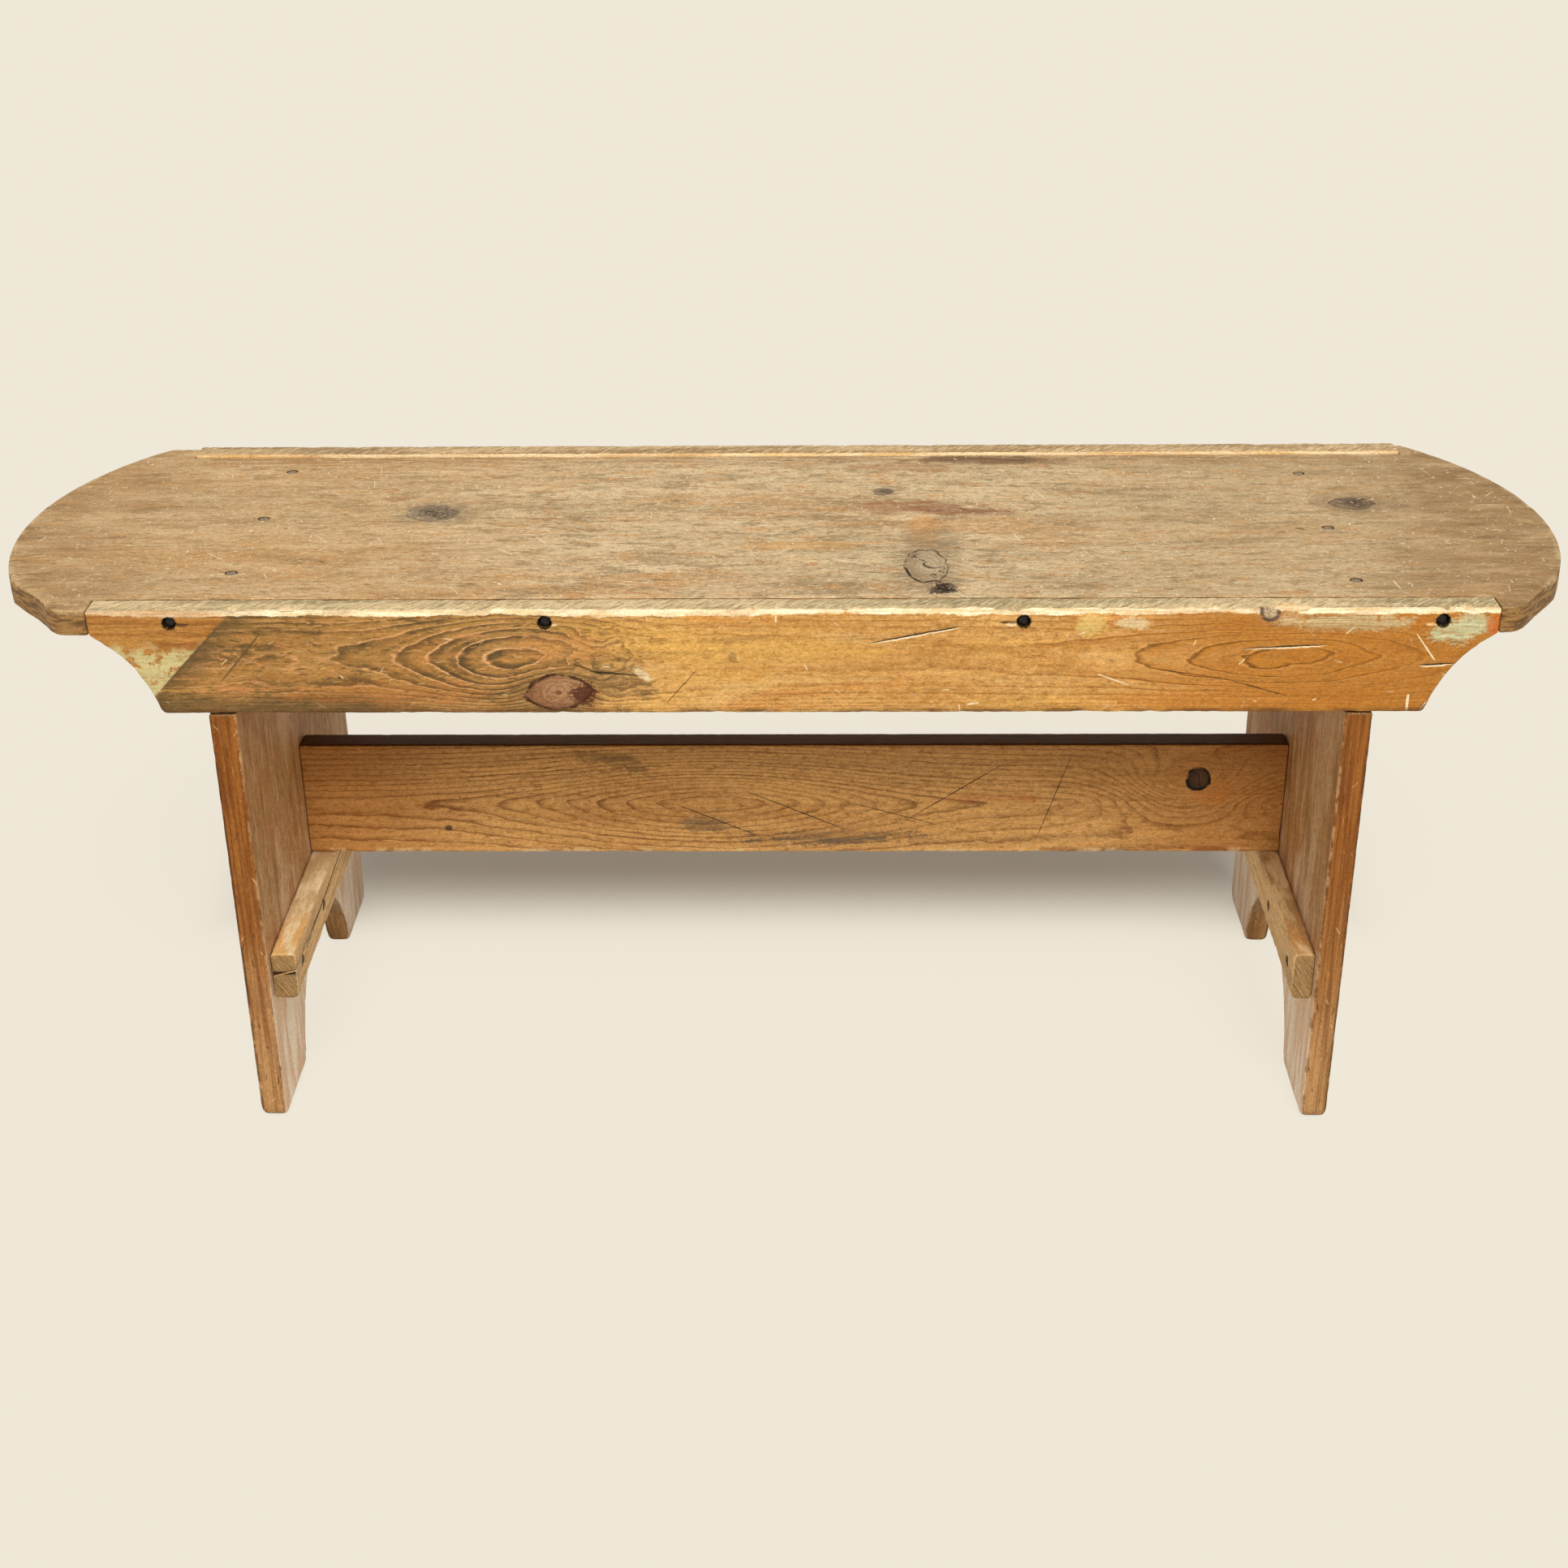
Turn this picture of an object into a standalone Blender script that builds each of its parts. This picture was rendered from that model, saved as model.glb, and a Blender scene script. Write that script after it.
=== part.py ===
"""Primitive pine bench: a seat plank with aprons let into its edges, slab legs and a stretcher on cleats."""
import math

import bmesh
import bpy
from mathutils import Matrix

# Driving sizes in metres. X runs along the bench, the front faces -Y and the feet stand on z = 0.
SEAT_TOP = 0.450            # height of the sitting surface
SEAT_T = 0.020              # thickness of the seat plank
DEPTH = 0.362               # outer face of the front apron to outer face of the back apron
LEFT_REACH = 0.097          # furthest point of the round left end past the apron's end
RIGHT_REACH = 0.080         # the right end was sawn a little flatter
LEFT_EARS = (0.038, 0.027)      # straight edges of the seat past the apron, at the front and at the back
RIGHT_EARS = (0.0205, 0.006)
FRONT_EAR_ROUND = 0.030     # softened corner between the front ear's straight edge and the round end
BACK_EAR_ROUND = 0.006

APRON_LENGTH = 1.032        # also the length of the notch in the seat edge
APRON_T = 0.0225
APRON_DROP = 0.083          # seat top down to the lower edge of the aprons
FRONT_APRON_SUNK = 0.0005   # top edge of the front apron below the seat top
BACK_APRON_PROUD = 0.002    # top edge of the back apron above the seat top
COVE_RUN = 0.047            # how far each cove cuts in along the lower edge
COVE_HOLLOW = 0.008         # depth of the cove behind its chord
COVE_TOE = 0.005            # rounded point where the cove meets the lower edge

LEG_T = 0.0205
LEG_SPAN = 0.826            # clear distance between the inner faces of the legs
LEG_SHIFT = -0.0015         # middle of the legs from the middle of the aprons
SHOULDER_GAP = 0.0015       # leg shoulder below the apron that passes over it
ARCH_WIDTH = 0.200          # cut-out between the two feet of a leg, at the floor
ARCH_RISE = 0.090
FOOT_ROUND = 0.010          # rounded outer corner of a foot
ARCH_ROUND = 0.006          # rounded inner corner of a foot

STRETCHER_T = 0.023
STRETCHER_H = 0.1015
STRETCHER_BOTTOM = 0.153    # height of its lower edge, where it sits on the cleats
STRETCHER_Y = 0.005         # its middle, a little behind the middle of the bench

CLEAT_H = 0.041
LEFT_CLEAT_T = 0.020
RIGHT_CLEAT_T = 0.0165
CLEAT_INSET = 0.006         # cleat ends behind the front and back edges of the leg
SPLIT_LENGTH = 0.120        # drying split that runs in from the front end of the left cleat
SPLIT_MOUTH = 0.0018
SPLIT_DEPTH = 0.017         # below the top of the cleat
SPLIT_TILT = math.radians(16)   # the split runs up from the leg to the open side of the cleat

ARRIS = 0.0012              # rounding of an ordinary sawn edge
WORN_ARRIS = 0.0025         # rounding of edges that hands and clothes rub
SITTING_ARRIS = 0.0045      # rounding of the front apron's upper edge, rubbed by the sitter's legs
END_ARRIS = 0.0018          # rounding of the seat's round ends
FOOT_ARRIS = 0.0055         # rounding of the foot soles
CLEAT_ROUND = 0.006         # rounding of a cleat's lower open edge
ARRIS_STEPS = 3

NAIL_HEAD_D = 0.0095
NAIL_CROWN_D = 0.0070       # flat top of the hammered head
NAIL_HEAD_T = 0.0018
NAIL_SHANK = 0.0036         # side of the square shank under the head
NAIL_TIP = 0.0018           # side of the square shank at its tip
NAIL_SIDES = 12
SEAT_NAIL_LENGTH = 0.048
APRON_NAIL_LENGTH = 0.042
CLEAT_NAIL_LENGTH = 0.029
STRETCHER_NAIL_LENGTH = 0.048
SEAT_NAIL_SET = 0.0003      # how far each kind of nail is driven below the surface
APRON_NAIL_SET = 0.003
CLEAT_NAIL_SET = 0.0008
STRETCHER_NAIL_SET = 0.0006
STRETCHER_NAIL_EDGE = 0.025     # stretcher nails from its upper and lower edges
LEFT_SEAT_NAILS = (-0.591, 0.050, 0.669)        # from the middle of the seat, as shares of half its depth
RIGHT_SEAT_NAILS = (-0.702, -0.099, 0.602)
APRON_NAILS = (-0.882, -0.347, 0.331, 0.920)    # from the middle of the apron, as shares of half its length
CLEAT_NAILS = (0.071, 0.323, 0.631)             # from the front end of the cleat, as shares of its length

FIT = 0.0003                # gap between faces that touch
ROUND_STEPS = 22            # facets of a seat end or of a leg arch
COVE_STEPS = 8
CORNER_STEPS = 4
SMOOTH_ANGLE = math.radians(30)
FLAT_ANGLE = math.radians(0.2)
WELD = 0.00001

# Places that follow from the sizes.
HALF_DEPTH = DEPTH / 2
HALF_APRON = APRON_LENGTH / 2
SEAT_BOTTOM = SEAT_TOP - SEAT_T
APRON_BOTTOM = SEAT_TOP - APRON_DROP
APRON_X = (LEFT_REACH - RIGHT_REACH) / 2        # keeps the whole bench centred on x = 0
LEGS_X = APRON_X + LEG_SHIFT
NOTCH_Y = HALF_DEPTH - APRON_T - FIT            # bottom of the notch in the seat and of the leg shoulder
CLEAT_TOP = STRETCHER_BOTTOM - FIT
CLEAT_MIDDLE = CLEAT_TOP - CLEAT_H / 2
NAIL_REACH = NAIL_HEAD_D                        # how far a hole cutter stands out of the wood
LARGEST_ARRIS = max(ARRIS, WORN_ARRIS, SITTING_ARRIS, END_ARRIS, FOOT_ARRIS, CLEAT_ROUND)

# Which way each board lies: its outline is drawn flat and then turned into place.
LYING = (0, 0, 0)                               # outline in x and y
ALONG = (math.pi / 2, 0, 0)                     # outline in x and z
ACROSS = (math.pi / 2, 0, math.pi / 2)          # outline in y and z

# Which way each nail points.
DOWN = (0, 0, 0)
BACKWARDS = (math.pi / 2, 0, 0)
FORWARDS = (-math.pi / 2, 0, 0)
TO_LEFT = (0, math.pi / 2, 0)
TO_RIGHT = (0, -math.pi / 2, 0)


def clear_scene():
    for old in list(bpy.data.objects):
        bpy.data.objects.remove(old, do_unlink=True)


def new_collection(name):
    collection = bpy.data.collections.new(name)
    bpy.context.scene.collection.children.link(collection)
    return collection


def material(name, colour, roughness, metallic=0.0):
    made = bpy.data.materials.new(name)
    made.use_nodes = True
    shader = made.node_tree.nodes["Principled BSDF"]
    shader.inputs["Base Color"].default_value = (*colour, 1.0)
    shader.inputs["Roughness"].default_value = roughness
    shader.inputs["Metallic"].default_value = metallic
    return made


def arc(start, end, rise, steps):
    """Points of a circular arc after start, up to end; its middle stands to the left of the chord by rise."""
    chord = math.dist(start, end)
    along = ((end[0] - start[0]) / chord, (end[1] - start[1]) / chord)
    left = (-along[1], along[0])
    half = chord / 2
    radius = (half * half + rise * rise) / (2 * abs(rise))
    swing = math.atan2(half, radius - abs(rise))
    side = math.copysign(1, rise)
    points = []
    for step in range(1, steps + 1):
        angle = swing * (2 * step / steps - 1)
        u = half + radius * math.sin(angle)
        v = side * (radius * math.cos(angle) - radius + abs(rise))
        points.append((start[0] + along[0] * u + left[0] * v, start[1] + along[1] * u + left[1] * v))
    return points


def rounded(before, corner, after, radius):
    """The corner between two straight runs, as an arc of the given radius."""
    to_before = math.atan2(before[1] - corner[1], before[0] - corner[0])
    to_after = math.atan2(after[1] - corner[1], after[0] - corner[0])
    inside = abs((to_before - to_after + math.pi) % (2 * math.pi) - math.pi)
    run = radius / math.tan(inside / 2)
    first = (corner[0] + run * math.cos(to_before), corner[1] + run * math.sin(to_before))
    last = (corner[0] + run * math.cos(to_after), corner[1] + run * math.sin(to_after))
    turn = (corner[0] - before[0]) * (after[1] - corner[1]) - (corner[1] - before[1]) * (after[0] - corner[0])
    rise = radius * (1 - math.cos((math.pi - inside) / 2))
    return [first] + arc(first, last, -math.copysign(rise, turn), CORNER_STEPS)


def evaluated_mesh(source):
    """A new mesh with the shape that the object has after its modifiers."""
    graph = bpy.context.evaluated_depsgraph_get()
    return bpy.data.meshes.new_from_object(source.evaluated_get(graph))


def sawn(name, outline, thickness, turn, centre):
    """A closed plate of the given flat outline and thickness, turned into place."""
    curve = bpy.data.curves.new(name, "CURVE")
    curve.dimensions = "2D"
    curve.fill_mode = "BOTH"
    curve.extrude = thickness / 2
    spline = curve.splines.new("POLY")
    spline.points.add(len(outline) - 1)
    for point, (u, v) in zip(spline.points, outline):
        point.co = (u, v, 0, 1)
    spline.use_cyclic_u = True
    blank = bpy.data.objects.new(name + "_blank", curve)
    parts.objects.link(blank)
    blank.location = centre
    blank.rotation_euler = turn
    bpy.context.view_layer.update()
    mesh = evaluated_mesh(blank)
    made = bpy.data.objects.new(name, mesh)
    made.matrix_world = blank.matrix_world
    bpy.data.objects.remove(blank, do_unlink=True)

    shape = bmesh.new()
    shape.from_mesh(mesh)
    bmesh.ops.remove_doubles(shape, verts=shape.verts, dist=WELD)
    bmesh.ops.dissolve_limit(shape, angle_limit=FLAT_ANGLE, verts=shape.verts, edges=shape.edges)
    bmesh.ops.recalc_face_normals(shape, faces=shape.faces)
    shape.to_mesh(mesh)
    shape.free()
    return made


def board(name, outline, thickness, turn, centre, radius_at, finish):
    """A sawn board; radius_at gives an edge's rounding from its place: u, v in the outline, w through it."""
    made = sawn(name, outline, thickness, turn, centre)
    parts.objects.link(made)
    mesh = made.data
    mesh.materials.clear()
    mesh.materials.append(finish)
    shape = bmesh.new()
    shape.from_mesh(mesh)
    weight = shape.edges.layers.float.new("bevel_weight_edge")
    for edge in shape.edges:
        if edge.is_convex and edge.calc_face_angle() > SMOOTH_ANGLE:
            middle = (edge.verts[0].co + edge.verts[1].co) / 2
            edge[weight] = radius_at(*middle) / LARGEST_ARRIS
    shape.to_mesh(mesh)
    shape.free()

    rounding = made.modifiers.new("rounded edges", "BEVEL")
    rounding.limit_method = "WEIGHT"
    rounding.width = LARGEST_ARRIS
    rounding.segments = ARRIS_STEPS
    rounding.use_clamp_overlap = False
    rounding.loop_slide = False
    mesh.shade_smooth()
    mesh.set_sharp_from_angle(angle=SMOOTH_ANGLE)
    return made


def cut(target, operand):
    """Take a cutter, or every cutter of a collection, out of a board."""
    cutting = target.modifiers.new("cut", "BOOLEAN")
    cutting.operation = "DIFFERENCE"
    cutting.solver = "EXACT"
    if isinstance(operand, bpy.types.Collection):
        cutting.operand_type = "COLLECTION"
        cutting.collection = operand
    else:
        cutting.object = operand


def mark_cutter(cutter, collection):
    collection.objects.link(cutter)
    cutter.hide_render = True
    cutter.display_type = "WIRE"


def peg(sides, lower_radius, upper_radius, bottom, top, twist):
    """A straight or tapered peg on the z axis, as a mesh of its own."""
    shape = bmesh.new()
    bmesh.ops.create_cone(shape, cap_ends=True, segments=sides, radius1=lower_radius,
                          radius2=upper_radius, depth=top - bottom)
    bmesh.ops.rotate(shape, verts=shape.verts, matrix=Matrix.Rotation(twist, 3, "Z"))
    bmesh.ops.translate(shape, verts=shape.verts, vec=(0, 0, (top + bottom) / 2))
    mesh = bpy.data.meshes.new("peg")
    shape.to_mesh(mesh)
    shape.free()
    return mesh


def nail_mesh(name, length, sunk, grow, head_top, crown_d):
    """Hammered head on a square tapered shank, driven down from z = 0; grow widens it into its hole."""
    head_bottom = -sunk - NAIL_HEAD_T - grow
    corner = math.sqrt(0.5)         # centre of a square to its corner, for a side of 1
    head = bpy.data.objects.new(name + "_head", peg(
        NAIL_SIDES, NAIL_HEAD_D / 2 + grow, crown_d / 2 + grow, head_bottom, head_top, 0))
    shank = bpy.data.objects.new(name + "_shank", peg(
        4, NAIL_TIP * corner + grow, NAIL_SHANK * corner + grow, -sunk - length - grow,
        head_bottom + NAIL_HEAD_T / 2, math.pi / 4))
    for piece in (head, shank):
        mark_cutter(piece, cutters)
    joining = head.modifiers.new("join", "BOOLEAN")
    joining.operation = "UNION"
    joining.solver = "EXACT"
    joining.object = shank
    bpy.context.view_layer.update()
    mesh = evaluated_mesh(head)
    mesh.name = name
    for piece in (head, shank):
        bpy.data.objects.remove(piece, do_unlink=True)
    return mesh


def drive_nails(kind, length, sunk, places):
    """One nail, and one hole for it, at each named place."""
    nail = nail_mesh(kind + "_nail", length, sunk, 0, -sunk, NAIL_CROWN_D)
    nail.materials.append(iron)
    hole = nail_mesh(kind + "_hole", length, sunk, FIT, NAIL_REACH, NAIL_HEAD_D)
    for name, place, turn in places:
        made = bpy.data.objects.new(name, nail)
        parts.objects.link(made)
        made.location = place
        made.rotation_euler = turn
        cutter = bpy.data.objects.new(name + "_hole", hole)
        mark_cutter(cutter, nail_holes)
        cutter.location = place
        cutter.rotation_euler = turn


def seat_end(ears, reach):
    """Outline of a round end on the right of an apron, from the seat's front edge to its back edge."""
    start = (HALF_APRON + FIT, -HALF_DEPTH)
    front = (HALF_APRON + ears[0], -HALF_DEPTH)
    back = (HALF_APRON + ears[1], HALF_DEPTH)
    end = (HALF_APRON + FIT, HALF_DEPTH)
    round_end = arc(front, back, sum(ears) / 2 - reach, ROUND_STEPS)
    points = [start] + rounded(start, front, round_end[0], FRONT_EAR_ROUND)
    points += round_end[:-1]
    return points + rounded(round_end[-2], back, end, BACK_EAR_ROUND) + [end]


def seat_board():
    """One plank with round ends; its long edges are notched between the ears to take the aprons."""
    notch_x = HALF_APRON + FIT
    outline = seat_end(RIGHT_EARS, RIGHT_REACH)
    outline += [(notch_x, NOTCH_Y), (-notch_x, NOTCH_Y)]
    outline += [(-u, v) for u, v in reversed(seat_end(LEFT_EARS, LEFT_REACH))]
    outline += [(-notch_x, -NOTCH_Y), (notch_x, -NOTCH_Y)]

    def radius_at(u, v, w):
        return END_ARRIS if abs(u) > notch_x else ARRIS

    centre = (APRON_X, 0, SEAT_TOP - SEAT_T / 2)
    return board("seat_board", outline, SEAT_T, LYING, centre, radius_at, seat_pine)


def apron(name, side, top, top_arris):
    """Edge board with its lower corners coved away under the ears; side is -1 at the front, 1 at the back."""
    toe_x = HALF_APRON - COVE_RUN
    left = arc((-HALF_APRON, SEAT_BOTTOM), (-toe_x, APRON_BOTTOM), COVE_HOLLOW, COVE_STEPS)
    right = arc((toe_x, APRON_BOTTOM), (HALF_APRON, SEAT_BOTTOM), COVE_HOLLOW, COVE_STEPS)
    outline = [(HALF_APRON, top), (-HALF_APRON, top), (-HALF_APRON, SEAT_BOTTOM)]
    outline += left[:-1]
    outline += rounded(left[-2], (-toe_x, APRON_BOTTOM), (toe_x, APRON_BOTTOM), COVE_TOE)
    outline += rounded((-toe_x, APRON_BOTTOM), (toe_x, APRON_BOTTOM), right[0], COVE_TOE)
    outline += right

    def radius_at(u, v, w):
        facing_front = w > 0
        return top_arris if facing_front and v > top - WELD else ARRIS

    centre = (APRON_X, side * (HALF_DEPTH - APRON_T / 2), 0)
    return board(name, outline, APRON_T, ALONG, centre, radius_at, apron_pine)


def leg(name, side):
    """Slab leg: shoulders under the aprons, a neck up to the seat and an arch between its two feet."""
    shoulder = APRON_BOTTOM - SHOULDER_GAP
    top = SEAT_BOTTOM - FIT
    neck = NOTCH_Y
    half_arch = ARCH_WIDTH / 2
    over = arc((-half_arch, 0), (half_arch, 0), ARCH_RISE, ROUND_STEPS)
    outline = [(HALF_DEPTH, shoulder), (neck, shoulder), (neck, top), (-neck, top), (-neck, shoulder)]
    outline += [(-HALF_DEPTH, shoulder)]
    outline += rounded(outline[-1], (-HALF_DEPTH, 0), (-half_arch, 0), FOOT_ROUND)
    outline += rounded((-HALF_DEPTH, 0), (-half_arch, 0), over[0], ARCH_ROUND)
    outline += over[:-1]
    outline += rounded(over[-2], (half_arch, 0), (HALF_DEPTH, 0), ARCH_ROUND)
    outline += rounded((half_arch, 0), (HALF_DEPTH, 0), outline[0], FOOT_ROUND)

    def radius_at(u, v, w):
        return ARRIS + (FOOT_ARRIS - ARRIS) * max(0, 1 - v / FOOT_ROUND)

    centre = (LEGS_X + side * (LEG_SPAN + LEG_T) / 2, 0, 0)
    return board(name, outline, LEG_T, ACROSS, centre, radius_at, leg_pine)


def stretcher():
    """Board on edge between the legs, standing on the cleats."""
    half = LEG_SPAN / 2 - FIT
    top = STRETCHER_BOTTOM + STRETCHER_H
    outline = [(-half, STRETCHER_BOTTOM), (half, STRETCHER_BOTTOM), (half, top), (-half, top)]

    def radius_at(u, v, w):
        return WORN_ARRIS if v > top - WELD else ARRIS

    centre = (LEGS_X, STRETCHER_Y, 0)
    return board("stretcher", outline, STRETCHER_T, ALONG, centre, radius_at, stretcher_pine)


def cleat(name, side, thickness):
    """Batten nailed across the inner face of a leg."""
    half = HALF_DEPTH - CLEAT_INSET
    bottom = CLEAT_TOP - CLEAT_H
    outline = [(-half, bottom), (half, bottom), (half, CLEAT_TOP), (-half, CLEAT_TOP)]

    def radius_at(u, v, w):
        open_side = w * side < 0
        return CLEAT_ROUND if open_side and v < bottom + WELD else WORN_ARRIS

    centre = (LEGS_X + side * (LEG_SPAN / 2 - FIT - thickness / 2), 0, 0)
    return board(name, outline, thickness, ACROSS, centre, radius_at, cleat_pine)


def split_in_left_cleat():
    """Thin wedge that opens the grain of the cleat at its front end."""
    mouth_y = -HALF_DEPTH
    tip_y = mouth_y + CLEAT_INSET + SPLIT_LENGTH
    height = CLEAT_TOP - SPLIT_DEPTH
    outline = [(mouth_y, height - SPLIT_MOUTH / 2), (tip_y, height), (mouth_y, height + SPLIT_MOUTH / 2)]
    centre = (LEGS_X - LEG_SPAN / 2 + FIT + LEFT_CLEAT_T / 2, 0, 0)
    cutter = sawn("split", outline, 2 * LEFT_CLEAT_T, ACROSS, centre)
    middle = Matrix.Translation((centre[0], 0, height))
    tilt = middle @ Matrix.Rotation(-SPLIT_TILT, 4, "Y") @ middle.inverted()
    cutter.matrix_world = tilt @ cutter.matrix_world
    mark_cutter(cutter, cutters)
    return cutter


def all_nails():
    """Seat to legs, aprons to seat, cleats to legs and legs to stretcher."""
    left_leg_x = LEGS_X - (LEG_SPAN + LEG_T) / 2
    right_leg_x = LEGS_X + (LEG_SPAN + LEG_T) / 2
    seat_places = []
    rows = (("left", left_leg_x, LEFT_SEAT_NAILS), ("right", right_leg_x, RIGHT_SEAT_NAILS))
    for side, x, shares in rows:
        for number, share in enumerate(shares, 1):
            seat_places.append((f"seat_nail_{side}_{number}", (x, share * HALF_DEPTH, SEAT_TOP), DOWN))
    drive_nails("seat", SEAT_NAIL_LENGTH, SEAT_NAIL_SET, seat_places)

    apron_places = []
    for side, y, turn in (("front", -HALF_DEPTH, BACKWARDS), ("back", HALF_DEPTH, FORWARDS)):
        for number, share in enumerate(APRON_NAILS, 1):
            place = (APRON_X + share * HALF_APRON, y, SEAT_TOP - SEAT_T / 2)
            apron_places.append((f"{side}_apron_nail_{number}", place, turn))
    drive_nails("apron", APRON_NAIL_LENGTH, APRON_NAIL_SET, apron_places)

    cleat_places = []
    left_face = LEGS_X - LEG_SPAN / 2 + FIT + LEFT_CLEAT_T
    right_face = LEGS_X + LEG_SPAN / 2 - FIT - RIGHT_CLEAT_T
    for side, x, turn in (("left", left_face, TO_LEFT), ("right", right_face, TO_RIGHT)):
        for number, share in enumerate(CLEAT_NAILS, 1):
            y = (2 * share - 1) * (HALF_DEPTH - CLEAT_INSET)
            cleat_places.append((f"{side}_cleat_nail_{number}", (x, y, CLEAT_MIDDLE), turn))
    drive_nails("cleat", CLEAT_NAIL_LENGTH, CLEAT_NAIL_SET, cleat_places)

    stretcher_places = []
    heights = (STRETCHER_BOTTOM + STRETCHER_NAIL_EDGE, STRETCHER_BOTTOM + STRETCHER_H - STRETCHER_NAIL_EDGE)
    left_outer = LEGS_X - LEG_SPAN / 2 - LEG_T
    right_outer = LEGS_X + LEG_SPAN / 2 + LEG_T
    for side, x, turn in (("left", left_outer, TO_RIGHT), ("right", right_outer, TO_LEFT)):
        for number, z in enumerate(heights, 1):
            stretcher_places.append((f"stretcher_nail_{side}_{number}", (x, STRETCHER_Y, z), turn))
    drive_nails("stretcher", STRETCHER_NAIL_LENGTH, STRETCHER_NAIL_SET, stretcher_places)


clear_scene()
parts = new_collection("primitive_bench")
cutters = new_collection("cutters")
nail_holes = new_collection("nail_holes")
seat_pine = material("seat_pine", (0.36, 0.24, 0.13), 0.6)
apron_pine = material("apron_pine", (0.45, 0.26, 0.10), 0.55)
leg_pine = material("leg_pine", (0.43, 0.27, 0.14), 0.6)
stretcher_pine = material("stretcher_pine", (0.40, 0.23, 0.10), 0.6)
cleat_pine = material("cleat_pine", (0.46, 0.33, 0.19), 0.7)
iron = material("nail_iron", (0.06, 0.055, 0.05), 0.7, 0.6)

all_nails()
boards = [
    seat_board(),
    apron("front_apron", -1, SEAT_TOP - FRONT_APRON_SUNK, SITTING_ARRIS),
    apron("back_apron", 1, SEAT_TOP + BACK_APRON_PROUD, WORN_ARRIS),
    leg("left_leg", -1),
    leg("right_leg", 1),
    stretcher(),
    cleat("left_cleat", -1, LEFT_CLEAT_T),
    cleat("right_cleat", 1, RIGHT_CLEAT_T),
]
for piece in boards:
    cut(piece, nail_holes)
cut(bpy.data.objects["left_cleat"], split_in_left_cleat())
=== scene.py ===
import math
import bmesh
import bpy
from mathutils import Matrix, Vector, noise
from mathutils.kdtree import KDTree


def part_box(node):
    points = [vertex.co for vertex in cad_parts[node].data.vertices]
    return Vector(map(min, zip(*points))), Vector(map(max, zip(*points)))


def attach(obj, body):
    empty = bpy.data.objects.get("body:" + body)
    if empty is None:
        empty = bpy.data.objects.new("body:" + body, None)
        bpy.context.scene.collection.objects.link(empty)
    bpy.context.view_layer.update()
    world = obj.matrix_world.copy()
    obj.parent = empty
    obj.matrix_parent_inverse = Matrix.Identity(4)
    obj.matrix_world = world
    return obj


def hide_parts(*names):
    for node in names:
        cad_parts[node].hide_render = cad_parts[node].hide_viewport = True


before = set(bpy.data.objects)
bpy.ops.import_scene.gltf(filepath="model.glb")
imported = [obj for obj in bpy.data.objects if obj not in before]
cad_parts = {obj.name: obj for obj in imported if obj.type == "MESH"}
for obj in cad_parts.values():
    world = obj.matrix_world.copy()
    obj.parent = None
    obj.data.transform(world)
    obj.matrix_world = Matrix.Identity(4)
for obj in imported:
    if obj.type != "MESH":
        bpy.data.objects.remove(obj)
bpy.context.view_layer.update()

bpy.context.scene.view_settings.view_transform = "Standard"


def linear(tone):
    # a colour as read off a screen, 0 to 255, turned into the linear values that shaders take
    parts = [value / 255 for value in tone]
    return tuple(v / 12.92 if v < 0.04045 else ((v + 0.055) / 1.055) ** 2.4 for v in parts) + (1.0,)


# Shader wiring: values that can be added and multiplied as in ordinary sums

class Wire:
    def __init__(self, kit, socket):
        self.kit = kit
        self.socket = socket

    def __add__(self, other):
        return self.kit.math("ADD", self, other)

    def __sub__(self, other):
        return self.kit.math("SUBTRACT", self, other)

    def __rsub__(self, other):
        return self.kit.math("SUBTRACT", other, self)

    def __mul__(self, other):
        return self.kit.math("MULTIPLY", self, other)

    def __truediv__(self, other):
        return self.kit.math("DIVIDE", self, other)

    def __abs__(self):
        return self.kit.math("ABSOLUTE", self)

    __radd__ = __add__
    __rmul__ = __mul__


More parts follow.
